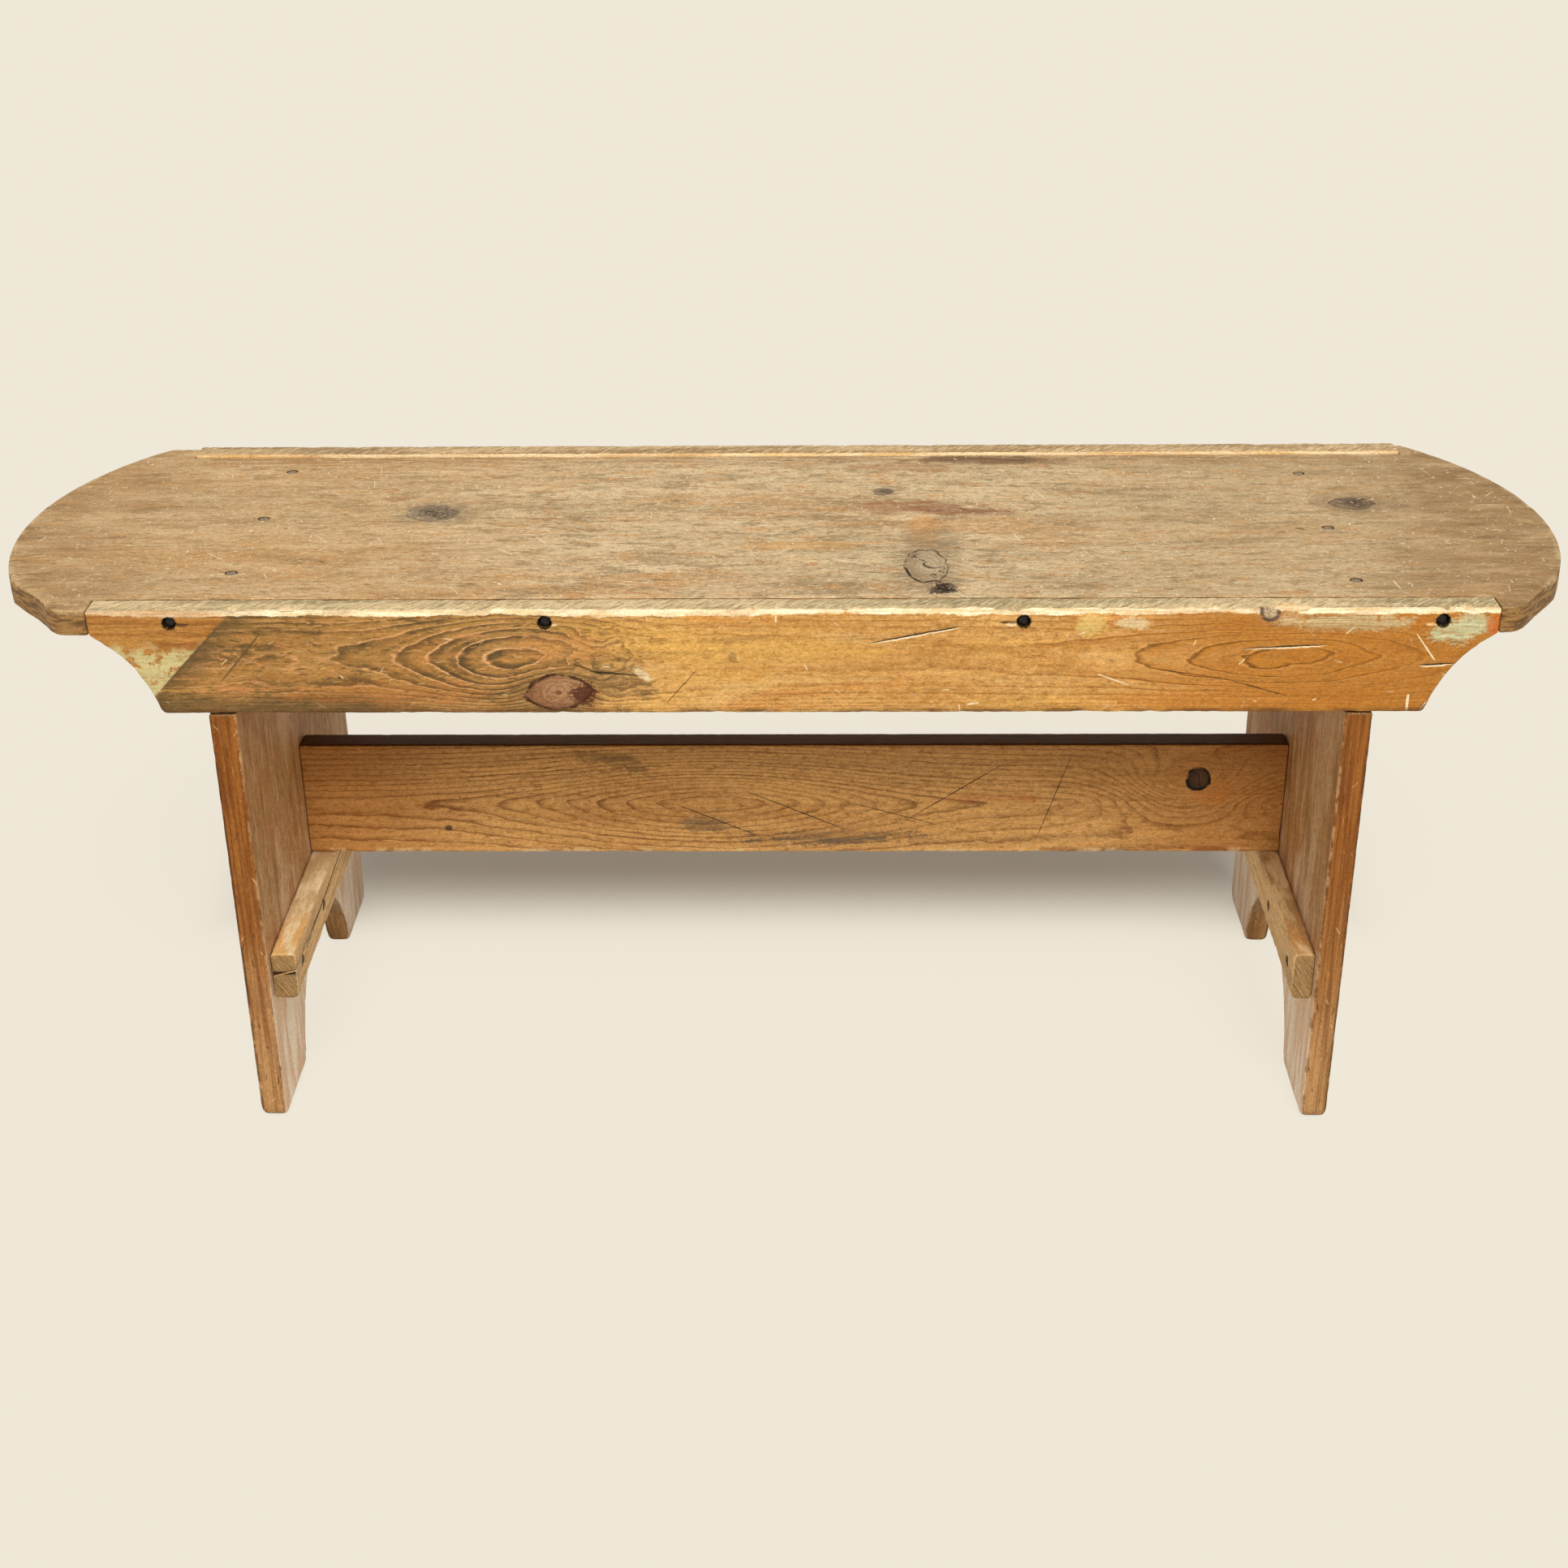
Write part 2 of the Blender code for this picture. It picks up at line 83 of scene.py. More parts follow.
class Wiring:
    def __init__(self, tree):
        self.tree = tree

    def plug(self, socket, value):
        if isinstance(value, Wire):
            self.tree.links.new(value.socket, socket)
        elif value is not None:
            socket.default_value = value

    def node(self, kind, plugs=None, **settings):
        made = self.tree.nodes.new(kind)
        for key, value in settings.items():
            setattr(made, key, value)
        for key, value in (plugs or {}).items():
            self.plug(made.inputs[key], value)
        return made

    def out(self, node, name=0):
        return Wire(self, node.outputs[name])

    def math(self, operation, *values, clamp=False):
        made = self.node("ShaderNodeMath", dict(enumerate(values)), operation=operation, use_clamp=clamp)
        return self.out(made)

    def vector(self, operation, *values):
        made = self.node("ShaderNodeVectorMath", dict(enumerate(values)), operation=operation)
        return self.out(made, "Value" if operation in ("LENGTH", "DOT_PRODUCT") else "Vector")

    def parts(self, vector):
        split = self.node("ShaderNodeSeparateXYZ", {"Vector": vector})
        return [self.out(split, letter) for letter in "XYZ"]

    def join(self, x, y, z):
        return self.out(self.node("ShaderNodeCombineXYZ", {"X": x, "Y": y, "Z": z}))

    def span(self, value, low, high, toLow=0.0, toHigh=1.0):
        # eases from toLow to toHigh while value goes from low to high, and stays put outside
        plugs = dict(enumerate((value, low, high, toLow, toHigh)))
        return self.out(self.node("ShaderNodeMapRange", plugs, interpolation_type="SMOOTHSTEP"), "Result")

    def noise(self, point, stretch, detail=2.0, rough=0.5, shift=0.0):
        # cloudy noise, 0 to 1; stretch is how many lumps there are to a metre along each axis
        moved = self.vector("MULTIPLY_ADD", point, stretch, (shift, shift * 1.7, shift * 0.6))
        clouds = {"Vector": moved, "Scale": 1.0, "Detail": detail, "Roughness": rough}
        return self.out(self.node("ShaderNodeTexNoise", clouds))

    def blend(self, share, under, over, way="MIX"):
        made = self.node("ShaderNodeMix", data_type="RGBA", blend_type=way, clamp_factor=True)
        self.plug(made.inputs["Factor"], share)
        sockets = [socket for socket in made.inputs if socket.type == "RGBA"]
        for socket, value in zip(sockets, (under, over)):
            self.plug(socket, linear(value) if isinstance(value, tuple) else value)
        return Wire(self, [socket for socket in made.outputs if socket.type == "RGBA"][0])

    def group(self, group, **plugs):
        made = self.node("ShaderNodeGroup", node_tree=group)
        for name, value in plugs.items():
            self.plug(made.inputs[name], value)
        return made


# Camera, light and floor

photoView = {
    "lens": 53.29,
    "sensor": 36,  # millimetres wide
    "farthest": 60,
    "place": (0.0352, -1.7420, 1.1069),
    "turn": 0.02035,
    "lookDown": 0.47326,
    "roll": -0.01016,
}


def setCamera():
    data = bpy.data.cameras.new("photoView")
    data.sensor_width = photoView["sensor"]
    data.lens = photoView["lens"]
    data.clip_end = photoView["farthest"]
    camera = bpy.data.objects.new("photoView", data)
    turn = Matrix.Rotation(photoView["turn"], 4, "Z")
    tip = Matrix.Rotation(math.pi / 2 - photoView["lookDown"], 4, "X")
    roll = Matrix.Rotation(photoView["roll"], 4, "Z")
    camera.matrix_world = Matrix.Translation(photoView["place"]) @ (turn @ tip) @ roll
    bpy.context.scene.collection.objects.link(camera)
    bpy.context.scene.camera = camera


studio = {
    "paper": (239, 232, 216),  # the cream ground behind the bench
    "floorTone": (236, 229, 213),
    "floorRough": 0.95,
    "skyLevel": 0.36,
    "keyPower": 2.75,
    "keyAngle": 26,  # a wide, soft lamp
    "keyTilt": 41,  # it stands in front of the bench, above the camera
    "keyTurn": 5,
    "floorReach": 14,
    # the shadow fades into plain paper between these distances from the middle, all but a last trace of it
    "fadeAside": (0.43, 0.58), "fadeBack": (0.38, 0.54), "fadeFront": (0.25, 0.085), "fadeMost": 0.92,
}


def directRay(kit):
    # 1 where a surface is looked at directly, in a reflection or through glass
    path = kit.node("ShaderNodeLightPath")
    eye = kit.math("MAXIMUM", kit.out(path, "Is Camera Ray"), kit.out(path, "Is Glossy Ray"))
    return kit.math("MAXIMUM", eye, kit.out(path, "Is Transmission Ray"))


def setLight():
    sky = bpy.data.worlds.new("studio")
    sky.use_nodes = True
    kit = Wiring(sky.node_tree)
    light = sky.node_tree.nodes["Background"]
    light.inputs["Color"].default_value = (1, 1, 1, 1)
    light.inputs["Strength"].default_value = studio["skyLevel"]
    seen = kit.node("ShaderNodeBackground", {"Color": linear(studio["paper"])})
    mix = kit.node("ShaderNodeMixShader", {0: directRay(kit), 1: kit.out(light), 2: kit.out(seen)})
    kit.plug(sky.node_tree.nodes["World Output"].inputs["Surface"], kit.out(mix))
    bpy.context.scene.world = sky

    lamp = bpy.data.lights.new("softKey", "SUN")
    lamp.energy = studio["keyPower"]
    lamp.angle = math.radians(studio["keyAngle"])
    key = bpy.data.objects.new("softKey", lamp)
    key.rotation_euler = (math.radians(studio["keyTilt"]), 0, math.radians(studio["keyTurn"]))
    bpy.context.scene.collection.objects.link(key)


def layFloor():
    reach = studio["floorReach"]
    mesh = bpy.data.meshes.new("floor")
    corners = [(-reach, -reach, 0), (reach, -reach, 0), (reach, reach, 0), (-reach, reach, 0)]
    mesh.from_pydata(corners, [], [(0, 1, 2, 3)])
    floor = bpy.data.objects.new("floor", mesh)
    bpy.context.scene.collection.objects.link(floor)
    paper = bpy.data.materials.new("creamPaper")
    paper.use_nodes = True
    kit = Wiring(paper.node_tree)
    lit = paper.node_tree.nodes["Principled BSDF"]
    lit.inputs["Base Color"].default_value = linear(studio["floorTone"])
    lit.inputs["Roughness"].default_value = studio["floorRough"]
    lit.inputs["Specular IOR Level"].default_value = 0.0
    x, y = kit.parts(kit.out(kit.node("ShaderNodeTexCoord"), "Object"))[:2]
    bare = kit.span(abs(x), *studio["fadeAside"])
    for edge in ("fadeBack", "fadeFront"):
        bare = kit.math("MAXIMUM", bare, kit.span(y, *studio[edge]))
    plain = kit.node("ShaderNodeEmission", {"Color": linear(studio["paper"]), "Strength": 1.0})
    share = bare * directRay(kit) * studio["fadeMost"]
    mix = kit.node("ShaderNodeMixShader", {0: share, 1: kit.out(lit), 2: kit.out(plain)})
    kit.plug(paper.node_tree.nodes["Material Output"].inputs["Surface"], kit.out(mix))
    mesh.materials.append(paper)


setCamera()
setLight()
layFloor()
print("camera, light and floor set")


# Shapes that the finishes are drawn with

def newGroup(name, vectors, values, results):
    # returns the wiring, what goes in by name, and a function that hands a result out
    group = bpy.data.node_groups.new(name, "ShaderNodeTree")
    for labels, way, kind in ((vectors, "INPUT", "Vector"), (values, "INPUT", "Float"), (results, "OUTPUT", "Float")):
        for label in labels.split():
            group.interface.new_socket(label, in_out=way, socket_type="NodeSocket" + kind)
    kit = Wiring(group)
    source = kit.node("NodeGroupInput")
    drain = kit.node("NodeGroupOutput")
    given = {label: kit.out(source, label) for label in (vectors + " " + values).split()}
    return kit, given, lambda label, value: kit.plug(drain.inputs[label], value)


def placeInSpot(kit, given):
    # how far off the spot's centre a point is, turned and measured in the spot's own half sizes
    away = kit.vector("SUBTRACT", given["Point"], given["Centre"])
    turned = kit.node("ShaderNodeVectorRotate", {"Vector": away, "Angle": given["Turn"]}, rotation_type="Z_AXIS")
    return kit.parts(kit.vector("DIVIDE", kit.out(turned), given["Size"]))[:2]


def makeMound():
    # a smooth hill of height 1, used to bend the growth rings into loops
    kit, given, give = newGroup("mound", "Point Centre Size", "", "Height")
    away = kit.vector("DIVIDE", kit.vector("SUBTRACT", given["Point"], given["Centre"]), given["Size"])
    x, y = kit.parts(away)[:2]
    give("Height", kit.math("EXPONENT", -1.0 * (x * x + y * y)))
    return kit.tree


def makeStroke():
    # a straight scratch between two points of a face, its edges a little uneven
    kit, given, give = newGroup("stroke", "Point From To", "Width", "Mask Side")
    flat = kit.vector("MULTIPLY", given["Point"], (1, 1, 0))
    start = kit.vector("SUBTRACT", flat, given["From"])
    whole = kit.vector("SUBTRACT", given["To"], given["From"])
    reach = kit.vector("LENGTH", whole)
    done = kit.math("DIVIDE", kit.vector("DOT_PRODUCT", start, whole), reach * reach, clamp=True)
    foot = kit.vector("SCALE", whole)
    kit.plug(foot.socket.node.inputs["Scale"], done)
    away = kit.vector("LENGTH", kit.vector("SUBTRACT", start, foot))
    uneven = kit.noise(flat, (170, 170, 0), 2) * 1.3 + 0.25
    taper = kit.math("POWER", 4.0 * done * (1.0 - done) + 0.02, 0.35)
    width = given["Width"] * uneven * taper
    give("Mask", kit.span(away, width * 0.5, width, 1.0, 0.0))
    cross = kit.vector("DOT_PRODUCT", kit.vector("CROSS_PRODUCT", whole, start), (0, 0, 1))
    give("Side", kit.math("SIGN", cross))
    return kit.tree


def makeFlecks():
    # short scratches scattered at random, one to a cell, each with its own slant, length and strength
    kit, given, give = newGroup("flecks", "Point Cells", "Slant Spread Length Width Share Seed", "Mask Luck")
    a, b = kit.parts(given["Point"])[:2]
    cellA, cellB = kit.parts(given["Cells"])[:2]
    spot = kit.join(a * cellA + given["Seed"], b * cellB + given["Seed"] * 0.37, 0.0)
    cells = kit.node("ShaderNodeTexVoronoi", {"Vector": spot, "Scale": 1.0, "Randomness": 1.0},
                     voronoi_dimensions="2D")
    away = kit.vector("SUBTRACT", spot, kit.out(cells, "Position"))
    x, y = kit.parts(away)[:2]
    x = x / cellA
    y = y / cellB
    red, green, blue = kit.parts(kit.out(cells, "Color"))
    slant = (red - 0.5) * given["Spread"] + given["Slant"]
    cosine = kit.math("COSINE", slant)
    sine = kit.math("SINE", slant)
    endways = abs(x * cosine + y * sine)
    bend = endways * endways * (green - 0.5) * 14.0
    sideways = abs(y * cosine - x * sine + bend)
    half = given["Length"] * (green * 0.38 + 0.12)
    thin = given["Width"] * (blue * 0.6 + 0.4)
    mask = kit.span(endways, half * 0.5, half, 1.0, 0.0) * kit.span(sideways, thin * 0.4, thin, 1.0, 0.0)
    luck = kit.math("FRACT", red * 7.31 + blue * 3.17)
    give("Mask", mask * kit.math("LESS_THAN", luck, given["Share"]))
    give("Luck", kit.math("FRACT", luck * 17.3))
    return kit.tree


def makePatch():
    # a ragged spot: worn colour, a stain or a scrap of paint
    kit, given, give = newGroup("patch", "Point Centre Size", "Turn Ragged Grit", "Mask")
    x, y = placeInSpot(kit, given)
    lumps = kit.noise(given["Point"], (60, 90, 60), 4, 0.6)
    grit = kit.noise(given["Point"], (420, 700, 500), 2, 0.6)
    radius = kit.math("SQRT", x * x + y * y) + (lumps - 0.5) * given["Ragged"]
    radius = radius + (grit - 0.5) * given["Grit"]
    give("Mask", kit.span(radius, 0.55, 1.0, 1.0, 0.0))
    return kit.tree


knotParts = ("Inside", "Rim", "Halo", "Rings", "Crack", "Depth")


def makeKnot():
    # a knot, round or lens-shaped: its own rings, a thin bark rim, drying cracks and a halo of disturbed wood
    kit, given, give = newGroup("knot", "Point Centre Size", "Turn Lens Cracks", " ".join(knotParts))
    x, y = placeInSpot(kit, given)
    wobble = kit.noise(given["Point"], (55, 75, 60), 3) - 0.5
    grit = kit.noise(given["Point"], (420, 600, 500), 3, 0.65) - 0.5
    inner = kit.math("SQRT", x * x + y * y)
    lens = abs(y) + x * x
    radius = inner + (lens - inner) * given["Lens"]
    rough = radius * (wobble * 0.5 + 1.0) + grit * 0.14
    give("Inside", kit.span(rough, 0.90, 1.0, 1.0, 0.0))
    broken = kit.span(kit.noise(given["Point"], (90, 110, 90), 3, 0.6), 0.36, 0.54, 0.25, 1.0)
    bark = (rough - 1.0) * kit.parts(given["Size"])[1]  # metres out from the edge
    ring = kit.span(bark, -0.0026, -0.0013) * kit.span(bark, 0.0001, 0.0012, 1.0, 0.0)
    give("Rim", ring * broken)
    give("Halo", kit.span(rough, 0.95, 2.3, 1.0, 0.0))
    inner = inner + wobble * 0.9 + grit * 0.25
    give("Rings", kit.span(kit.math("PINGPONG", inner * 4.5, 0.5), 0.22, 0.48))
    give("Depth", kit.span(inner - x * 0.4 - y * 0.2, 0.10, 1.3))
    bearing = kit.math("ARCTAN2", y, x) + wobble * 5.0 + 0.9
    spoke = kit.math("PINGPONG", bearing * (given["Cracks"] / math.pi), 0.5)
    crack = kit.span(spoke * (inner + 0.04), 0.010, 0.030, 1.0, 0.0) * kit.span(rough, 0.75, 1.02, 1.0, 0.0)
    give("Crack", crack * kit.span(given["Cracks"], 0.1, 0.2))
    return kit.tree


mound = makeMound()
stroke = makeStroke()
flecks = makeFlecks()
patch = makePatch()
knot = makeKnot()
print("shader groups made")


# Old pine: every board's finish is the same grain with its own knots, stains and wear laid over it

class Pine(Wiring):
    def __init__(self, board):
        self.board = board
        self.stuff = bpy.data.materials.new(board["name"])
        self.stuff.use_nodes = True
        super().__init__(self.stuff.node_tree)
        low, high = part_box(board["node"])
        spot = self.node("ShaderNodeTexCoord")
        order = ["xyz".index(letter) for letter in board["grain"]]
        place = self.parts(self.vector("SUBTRACT", self.out(spot, "Object"), tuple((low + high) / 2)))
        facing = self.parts(self.out(spot, "Normal"))
        self.along, self.across, self.through = [place[i] for i in order]
        self.endFace, self.edgeFace, self.broadFace = [facing[i] for i in order]
        self.half = [(high[i] - low[i]) / 2 for i in order]
        self.point = self.join(self.along, self.across, self.through)
        self.edge = self.out(self.node("ShaderNodeAttribute", attribute_name="edge"), "Fac")
        self.front = self.onFace(board["face"])
        self.dealt = 0.0
        self.growRings()
        self.mellow()

    def lumps(self, stretchA, stretchB, detail, shift, rough=0.55):
        return self.noise(self.point, (stretchA, stretchB, stretchB), detail, rough, self.board["seed"] + shift)

    def onFace(self, side):
        # 1 on the broad face on that side, 0 within and on the other
        return self.span(self.through * float(side), self.half[2] - 0.007, self.half[2] - 0.003)

    def hill(self, centre, size):
        return self.out(self.group(mound, Point=self.point, Centre=(*centre, 0), Size=(*size, 1)))

    def growRings(self):
        # growth rings are the level lines of a trough along the heart, with loops round each eye and knot
        board = self.board
        off = self.across - board["heart"]
        count = self.math("SQRT", off * off + board["soft"] ** 2) * board["rate"] + off * board["tilt"]
        if "crowd" in board:
            count = count + off * off * off * off * board["crowd"]
        count = count + self.through * board["pitch"] + self.along * board["run"]
        count = count + (self.lumps(2.3, 15, 2, 0) - 0.5) * board["drift"]
        count = count + (self.lumps(14, 60, 3, 4) - 0.5) * board["wave"]
        count = count + (self.lumps(60, 220, 2, 6) - 0.5) * board["wave"] * 0.4
        for a, b, reachA, reachB, rise in board["eyes"]:
            count = count + self.hill((a, b), (reachA, reachB)) * rise
        for a, b, reachA, reachB, amount in board.get("swirls", ()):
            count = count + self.hill((a, b), (reachA, reachB)) * (self.lumps(28, 60, 3, 8) - 0.5) * amount
        self.count = count + 60.0 + board.get("phase", 0.0)
        self.step = self.math("FRACT", self.count)
        self.late = self.span(self.step, board["lateFrom"], 0.88) * self.span(self.step, 0.90, 1.0, 1.0, 0.0)
        self.line = self.span(self.step, 0.78, 0.92) * self.span(self.step, 0.93, 1.0, 1.0, 0.0)
        self.ridge = self.span(self.step, 0.0, 0.16, 1.0, 0.0)
        year = self.node("ShaderNodeTexWhiteNoise", {"W": self.math("FLOOR", self.count)}, noise_dimensions="1D")
        self.year = self.out(year, "Value")

    def mellow(self):
        # early and late wood, fibres that follow the rings, clouds of old colour, and fine specks of dirt and wear
        board = self.board
        self.fibre = self.lumps(15, 620, 3, 9, 0.65)
        flow = self.join(self.along * 11.0, self.count * 2.6, self.through * 60.0)
        self.flow = self.noise(flow, (1, 1, 1), 4, 0.68, board["seed"])
        self.grit = self.lumps(430, 640, 3, 31, 0.7)
        coarse = self.lumps(150, 300, 4, 120, 0.7)
        fine = self.lumps(520, 900, 3, 130, 0.75)
        self.height = (self.fibre + coarse + fine) * board["fuzz"]
        patchy = self.span(self.lumps(7, 40, 3, 12), 0.36, 0.58, 0.45, 1.0)
        depth = self.late * patchy * (self.year * 0.6 + 0.4) * board["contrast"]
        self.colour = self.blend(depth, board["early"], board["late"])
        self.stain(self.line * patchy * board["contrast"] * 0.6, board["late"])
        self.stain(self.span(self.flow, 0.50, 0.74) * board["streaks"], board["late"])
        self.stain(self.span(self.flow, 0.50, 0.26) * board["streaks"] * 0.6, board["bright"])
        for place, (tone, strength, stretchA, stretchB, low, high) in enumerate(board["patina"]):
            cloud = self.lumps(stretchA, stretchB, 4, 40 + 7 * place, 0.62)
            self.stain(self.span(cloud, low, high) * strength, tone)
        dark, light, strength = board["specks"]
        self.stain(self.span(coarse, 0.52, 0.68) * strength, dark)
        self.stain(self.span(coarse, 0.48, 0.32) * strength * 0.8, light)
        self.stain(self.span(fine, 0.54, 0.72) * strength, light)
        self.stain(self.span(fine, 0.46, 0.28) * strength, dark)

    def shadeBy(self, value, amount):
        # lightens and darkens by a 0 to 1 noise, its middle left as it is
        level = (value - 0.5) * (2.0 * amount) + 1.0
        grey = self.node("ShaderNodeCombineColor", {"Red": level, "Green": level, "Blue": level})
        self.colour = self.blend(1.0, self.colour, self.out(grey), "MULTIPLY")

    def stain(self, mask, tone):
        # lays a tone on; the next layer's place is tied to this one, so that the layers are worked out in turn
        self.colour = self.blend(mask, self.colour, tone)
        self.along = self.along + mask * 1e-12
        self.point = self.join(self.along, self.across, self.through)

    def addScatter(self, tone, strength, cells, length, width, share, slant, spread, where=None, point=None):
        # scattered scratches and flecks, on the face that shows unless told where
        self.dealt += 3.7
        made = self.group(flecks, Point=point or self.point, Cells=(*cells, 0), Slant=slant, Spread=spread,
                          Length=length, Width=width, Share=share, Seed=self.dealt + self.board["seed"])
        mask = self.out(made, "Mask") * (self.out(made, "Luck") * 0.9 + 0.1) * (where or self.front)
        self.stain(mask * strength, tone)

    def addLine(self, tone, strength, start, end, width, lip=None):
        # one scratch, crack or gouge, with a pale lip on its lower side where it was torn
        made = self.group(stroke, Point=self.point, From=(*start, 0), To=(*end, 0), Width=width)
        mask = self.out(made, "Mask") * self.front
        if lip:
            wide = self.group(stroke, Point=self.point, From=(*start, 0), To=(*end, 0), Width=width * 2.3)
            below = self.span(self.out(wide, "Side"), -0.5, 0.5, 1.0, 0.0)
            self.stain(self.out(wide, "Mask") * below * self.front * 0.9, lip)
        self.stain(mask * strength, tone)

    def addSpot(self, tone, strength, centre, size, turn, ragged, grit, follow):
        # a worn or stained place, soaked in along the grain
        made = self.group(patch, Point=self.point, Centre=(*centre, 0), Size=(*size, 1), Turn=turn,
                          Ragged=ragged, Grit=grit)
        soaked = self.span(self.flow + self.fibre * 0.5, 0.62, 0.86, 1.0 - follow, 1.0)
        self.stain(self.out(made) * self.front * soaked * strength, tone)

    def addKnot(self, centre, size, turn, lens, cracks, tones, halo, rim):
        haloTone, middle, outer, rimTone, crackTone = tones
        made = self.group(knot, Point=self.point, Centre=(*centre, 0), Size=(*size, 1), Turn=turn,
                          Lens=lens, Cracks=cracks)
        inside, edge, ring, rings, crack, depth = [self.out(made, name) for name in knotParts]
        self.stain(ring * halo * self.span(self.flow, 0.36, 0.60) * self.front, haloTone)
        body = self.blend(depth * 0.8, middle, outer)
        body = self.blend(rings * 0.55, body, outer)
        body = self.blend(self.span(self.grit, 0.46, 0.62) * 0.5, body, rimTone)
        self.stain(inside * 0.94 * self.front, body)
        self.stain(edge * rim * self.front, rimTone)
        self.stain(crack * 0.9 * self.front, crackTone)

    def wear(self):
        # everything listed in the board's dictionary, from the deepest stain to the last scratch
        layers = {"spots": self.addSpot, "knots": self.addKnot, "scatter": self.addScatter, "lines": self.addLine}
        for kind, lay in layers.items():
            for entry in self.board.get(kind, ()):
                lay(*entry)

    def finish(self, rough, shine=0.15):
        board = self.board
        self.shadeBy(self.fibre, board["fibres"] * 0.5)
        self.shadeBy(self.grit, board["fibres"])
        surface = self.tree.nodes["Principled BSDF"]
        self.plug(surface.inputs["Base Color"], self.colour)
        self.plug(surface.inputs["Roughness"], rough)
        surface.inputs["Specular IOR Level"].default_value = shine
        relief = self.node("ShaderNodeBump", {"Height": self.height, "Strength": 1.0, "Distance": 1.0})
        self.plug(surface.inputs["Normal"], self.out(relief))
        return self.stuff


# Boards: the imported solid, sliced finely enough to chip its arrises and carve its dents

wearing = {
    "touching": 1e-6,  # points this close are one
    "level": 0.4,  # faces within this angle, in degrees, are one
    "sliceAcross": 0.03,
    "inset": (0.004, 0.009, 0.018),  # slices beside the long edges
    "edgeBand": 0.009,  # how far in from an arris rubbing and dirt reach
    "chipBand": 0.0045,  # and chips
    "chipLumps": ((38, 0.55), (130, 0.45)),  # lumps to a metre and their share
    "chipFrom": 0.08,
    "crumbs": 310,
    "sharp": 32,
    "flat": 0.9998,
    "carveReach": 2.2,  # in widths of the mark
    "carveCuts": (-2.0, -1.0, -0.4, 0.0, 0.4, 1.0, 2.0),
    "carveLumps": 260,
}


def joinedCopy(node):
    work = bmesh.new()
    work.from_mesh(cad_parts[node].data)
    bmesh.ops.remove_doubles(work, verts=work.verts, dist=wearing["touching"])
    return work


def cutThrough(work, normal, places, nearby=None):
    for place in places:
        if nearby:
            faces = nearby()
            edges = dict.fromkeys(edge for face in faces for edge in face.edges)
            verts = dict.fromkeys(vert for face in faces for vert in face.verts)
            geom = [*faces, *edges, *verts]
        else:
            geom = [*work.verts, *work.edges, *work.faces]
        bmesh.ops.bisect_plane(work, geom=geom, dist=wearing["touching"], plane_co=normal * place, plane_no=normal)


def wearEars(work, ears):
    # the front corners of the plank's two round ends are rubbed back, most at the very front
    for vert in work.verts:
        off = vert.co.x - ears["middle"]
        beyond = abs(off) - ears["neck"]
        if beyond <= 0:
            continue
        near = min(1.0, max(0.0, (vert.co.y - ears["from"]) / (ears["full"] - ears["from"])))
        worn = ears["left"] if off < 0 else ears["right"]
        vert.co.x -= math.copysign(beyond * worn * near * near * (3 - 2 * near), off)


def spread(low, high, step):
    count = max(1, round((high - low) / step))
    return [low + (high - low) * i / count for i in range(1, count)]


def axis(letter):
    return Vector([1.0 if letter == one else 0.0 for one in "xyz"])


def carve(work, board, mark, middle):
    # a dent, gouge or split: the face is cut finely round the line and pushed in
    along, across, through = [axis(letter) for letter in board["grain"]]
    start, end = [middle + along * a + across * b for a, b in (mark["from"], mark["to"])]
    run = (end - start).normalized()
    side = run.cross(through)
    reach = (end - start).length
    width = mark["width"]
    facing = through * board["face"]
    around = width * wearing["carveReach"]

    def nearFaces():
        near = []
        for face in work.faces:
            if face.normal.dot(facing) < 0.9:
                continue
            spans = [(vert.co - start).dot(side) for vert in face.verts]
            runs = [(vert.co - start).dot(run) for vert in face.verts]
            if min(spans) < around and max(spans) > -around and min(runs) < reach + width and max(runs) > -width:
                near.append(face)
        return near

    cutThrough(work, side, [start.dot(side) + width * f for f in wearing["carveCuts"]], nearFaces)
    stops = [0.0, *spread(0, reach, mark["step"]), reach]
    cutThrough(work, run, [start.dot(run) + stop for stop in stops], nearFaces)
    for vert in work.verts:
        if vert.normal.dot(facing) < 0.5:
            continue
        done = (vert.co - start).dot(run) / reach
        off = (vert.co - start).dot(side) / width
        taper = max(0.0, 1 - abs(2 * done - 1) ** 3)
        ragged = 0.65 + 0.5 * noise.noise(vert.co * wearing["carveLumps"])
        vert.co -= facing * (max(0.0, 1 - off * off) * mark["depth"] * taper * ragged)


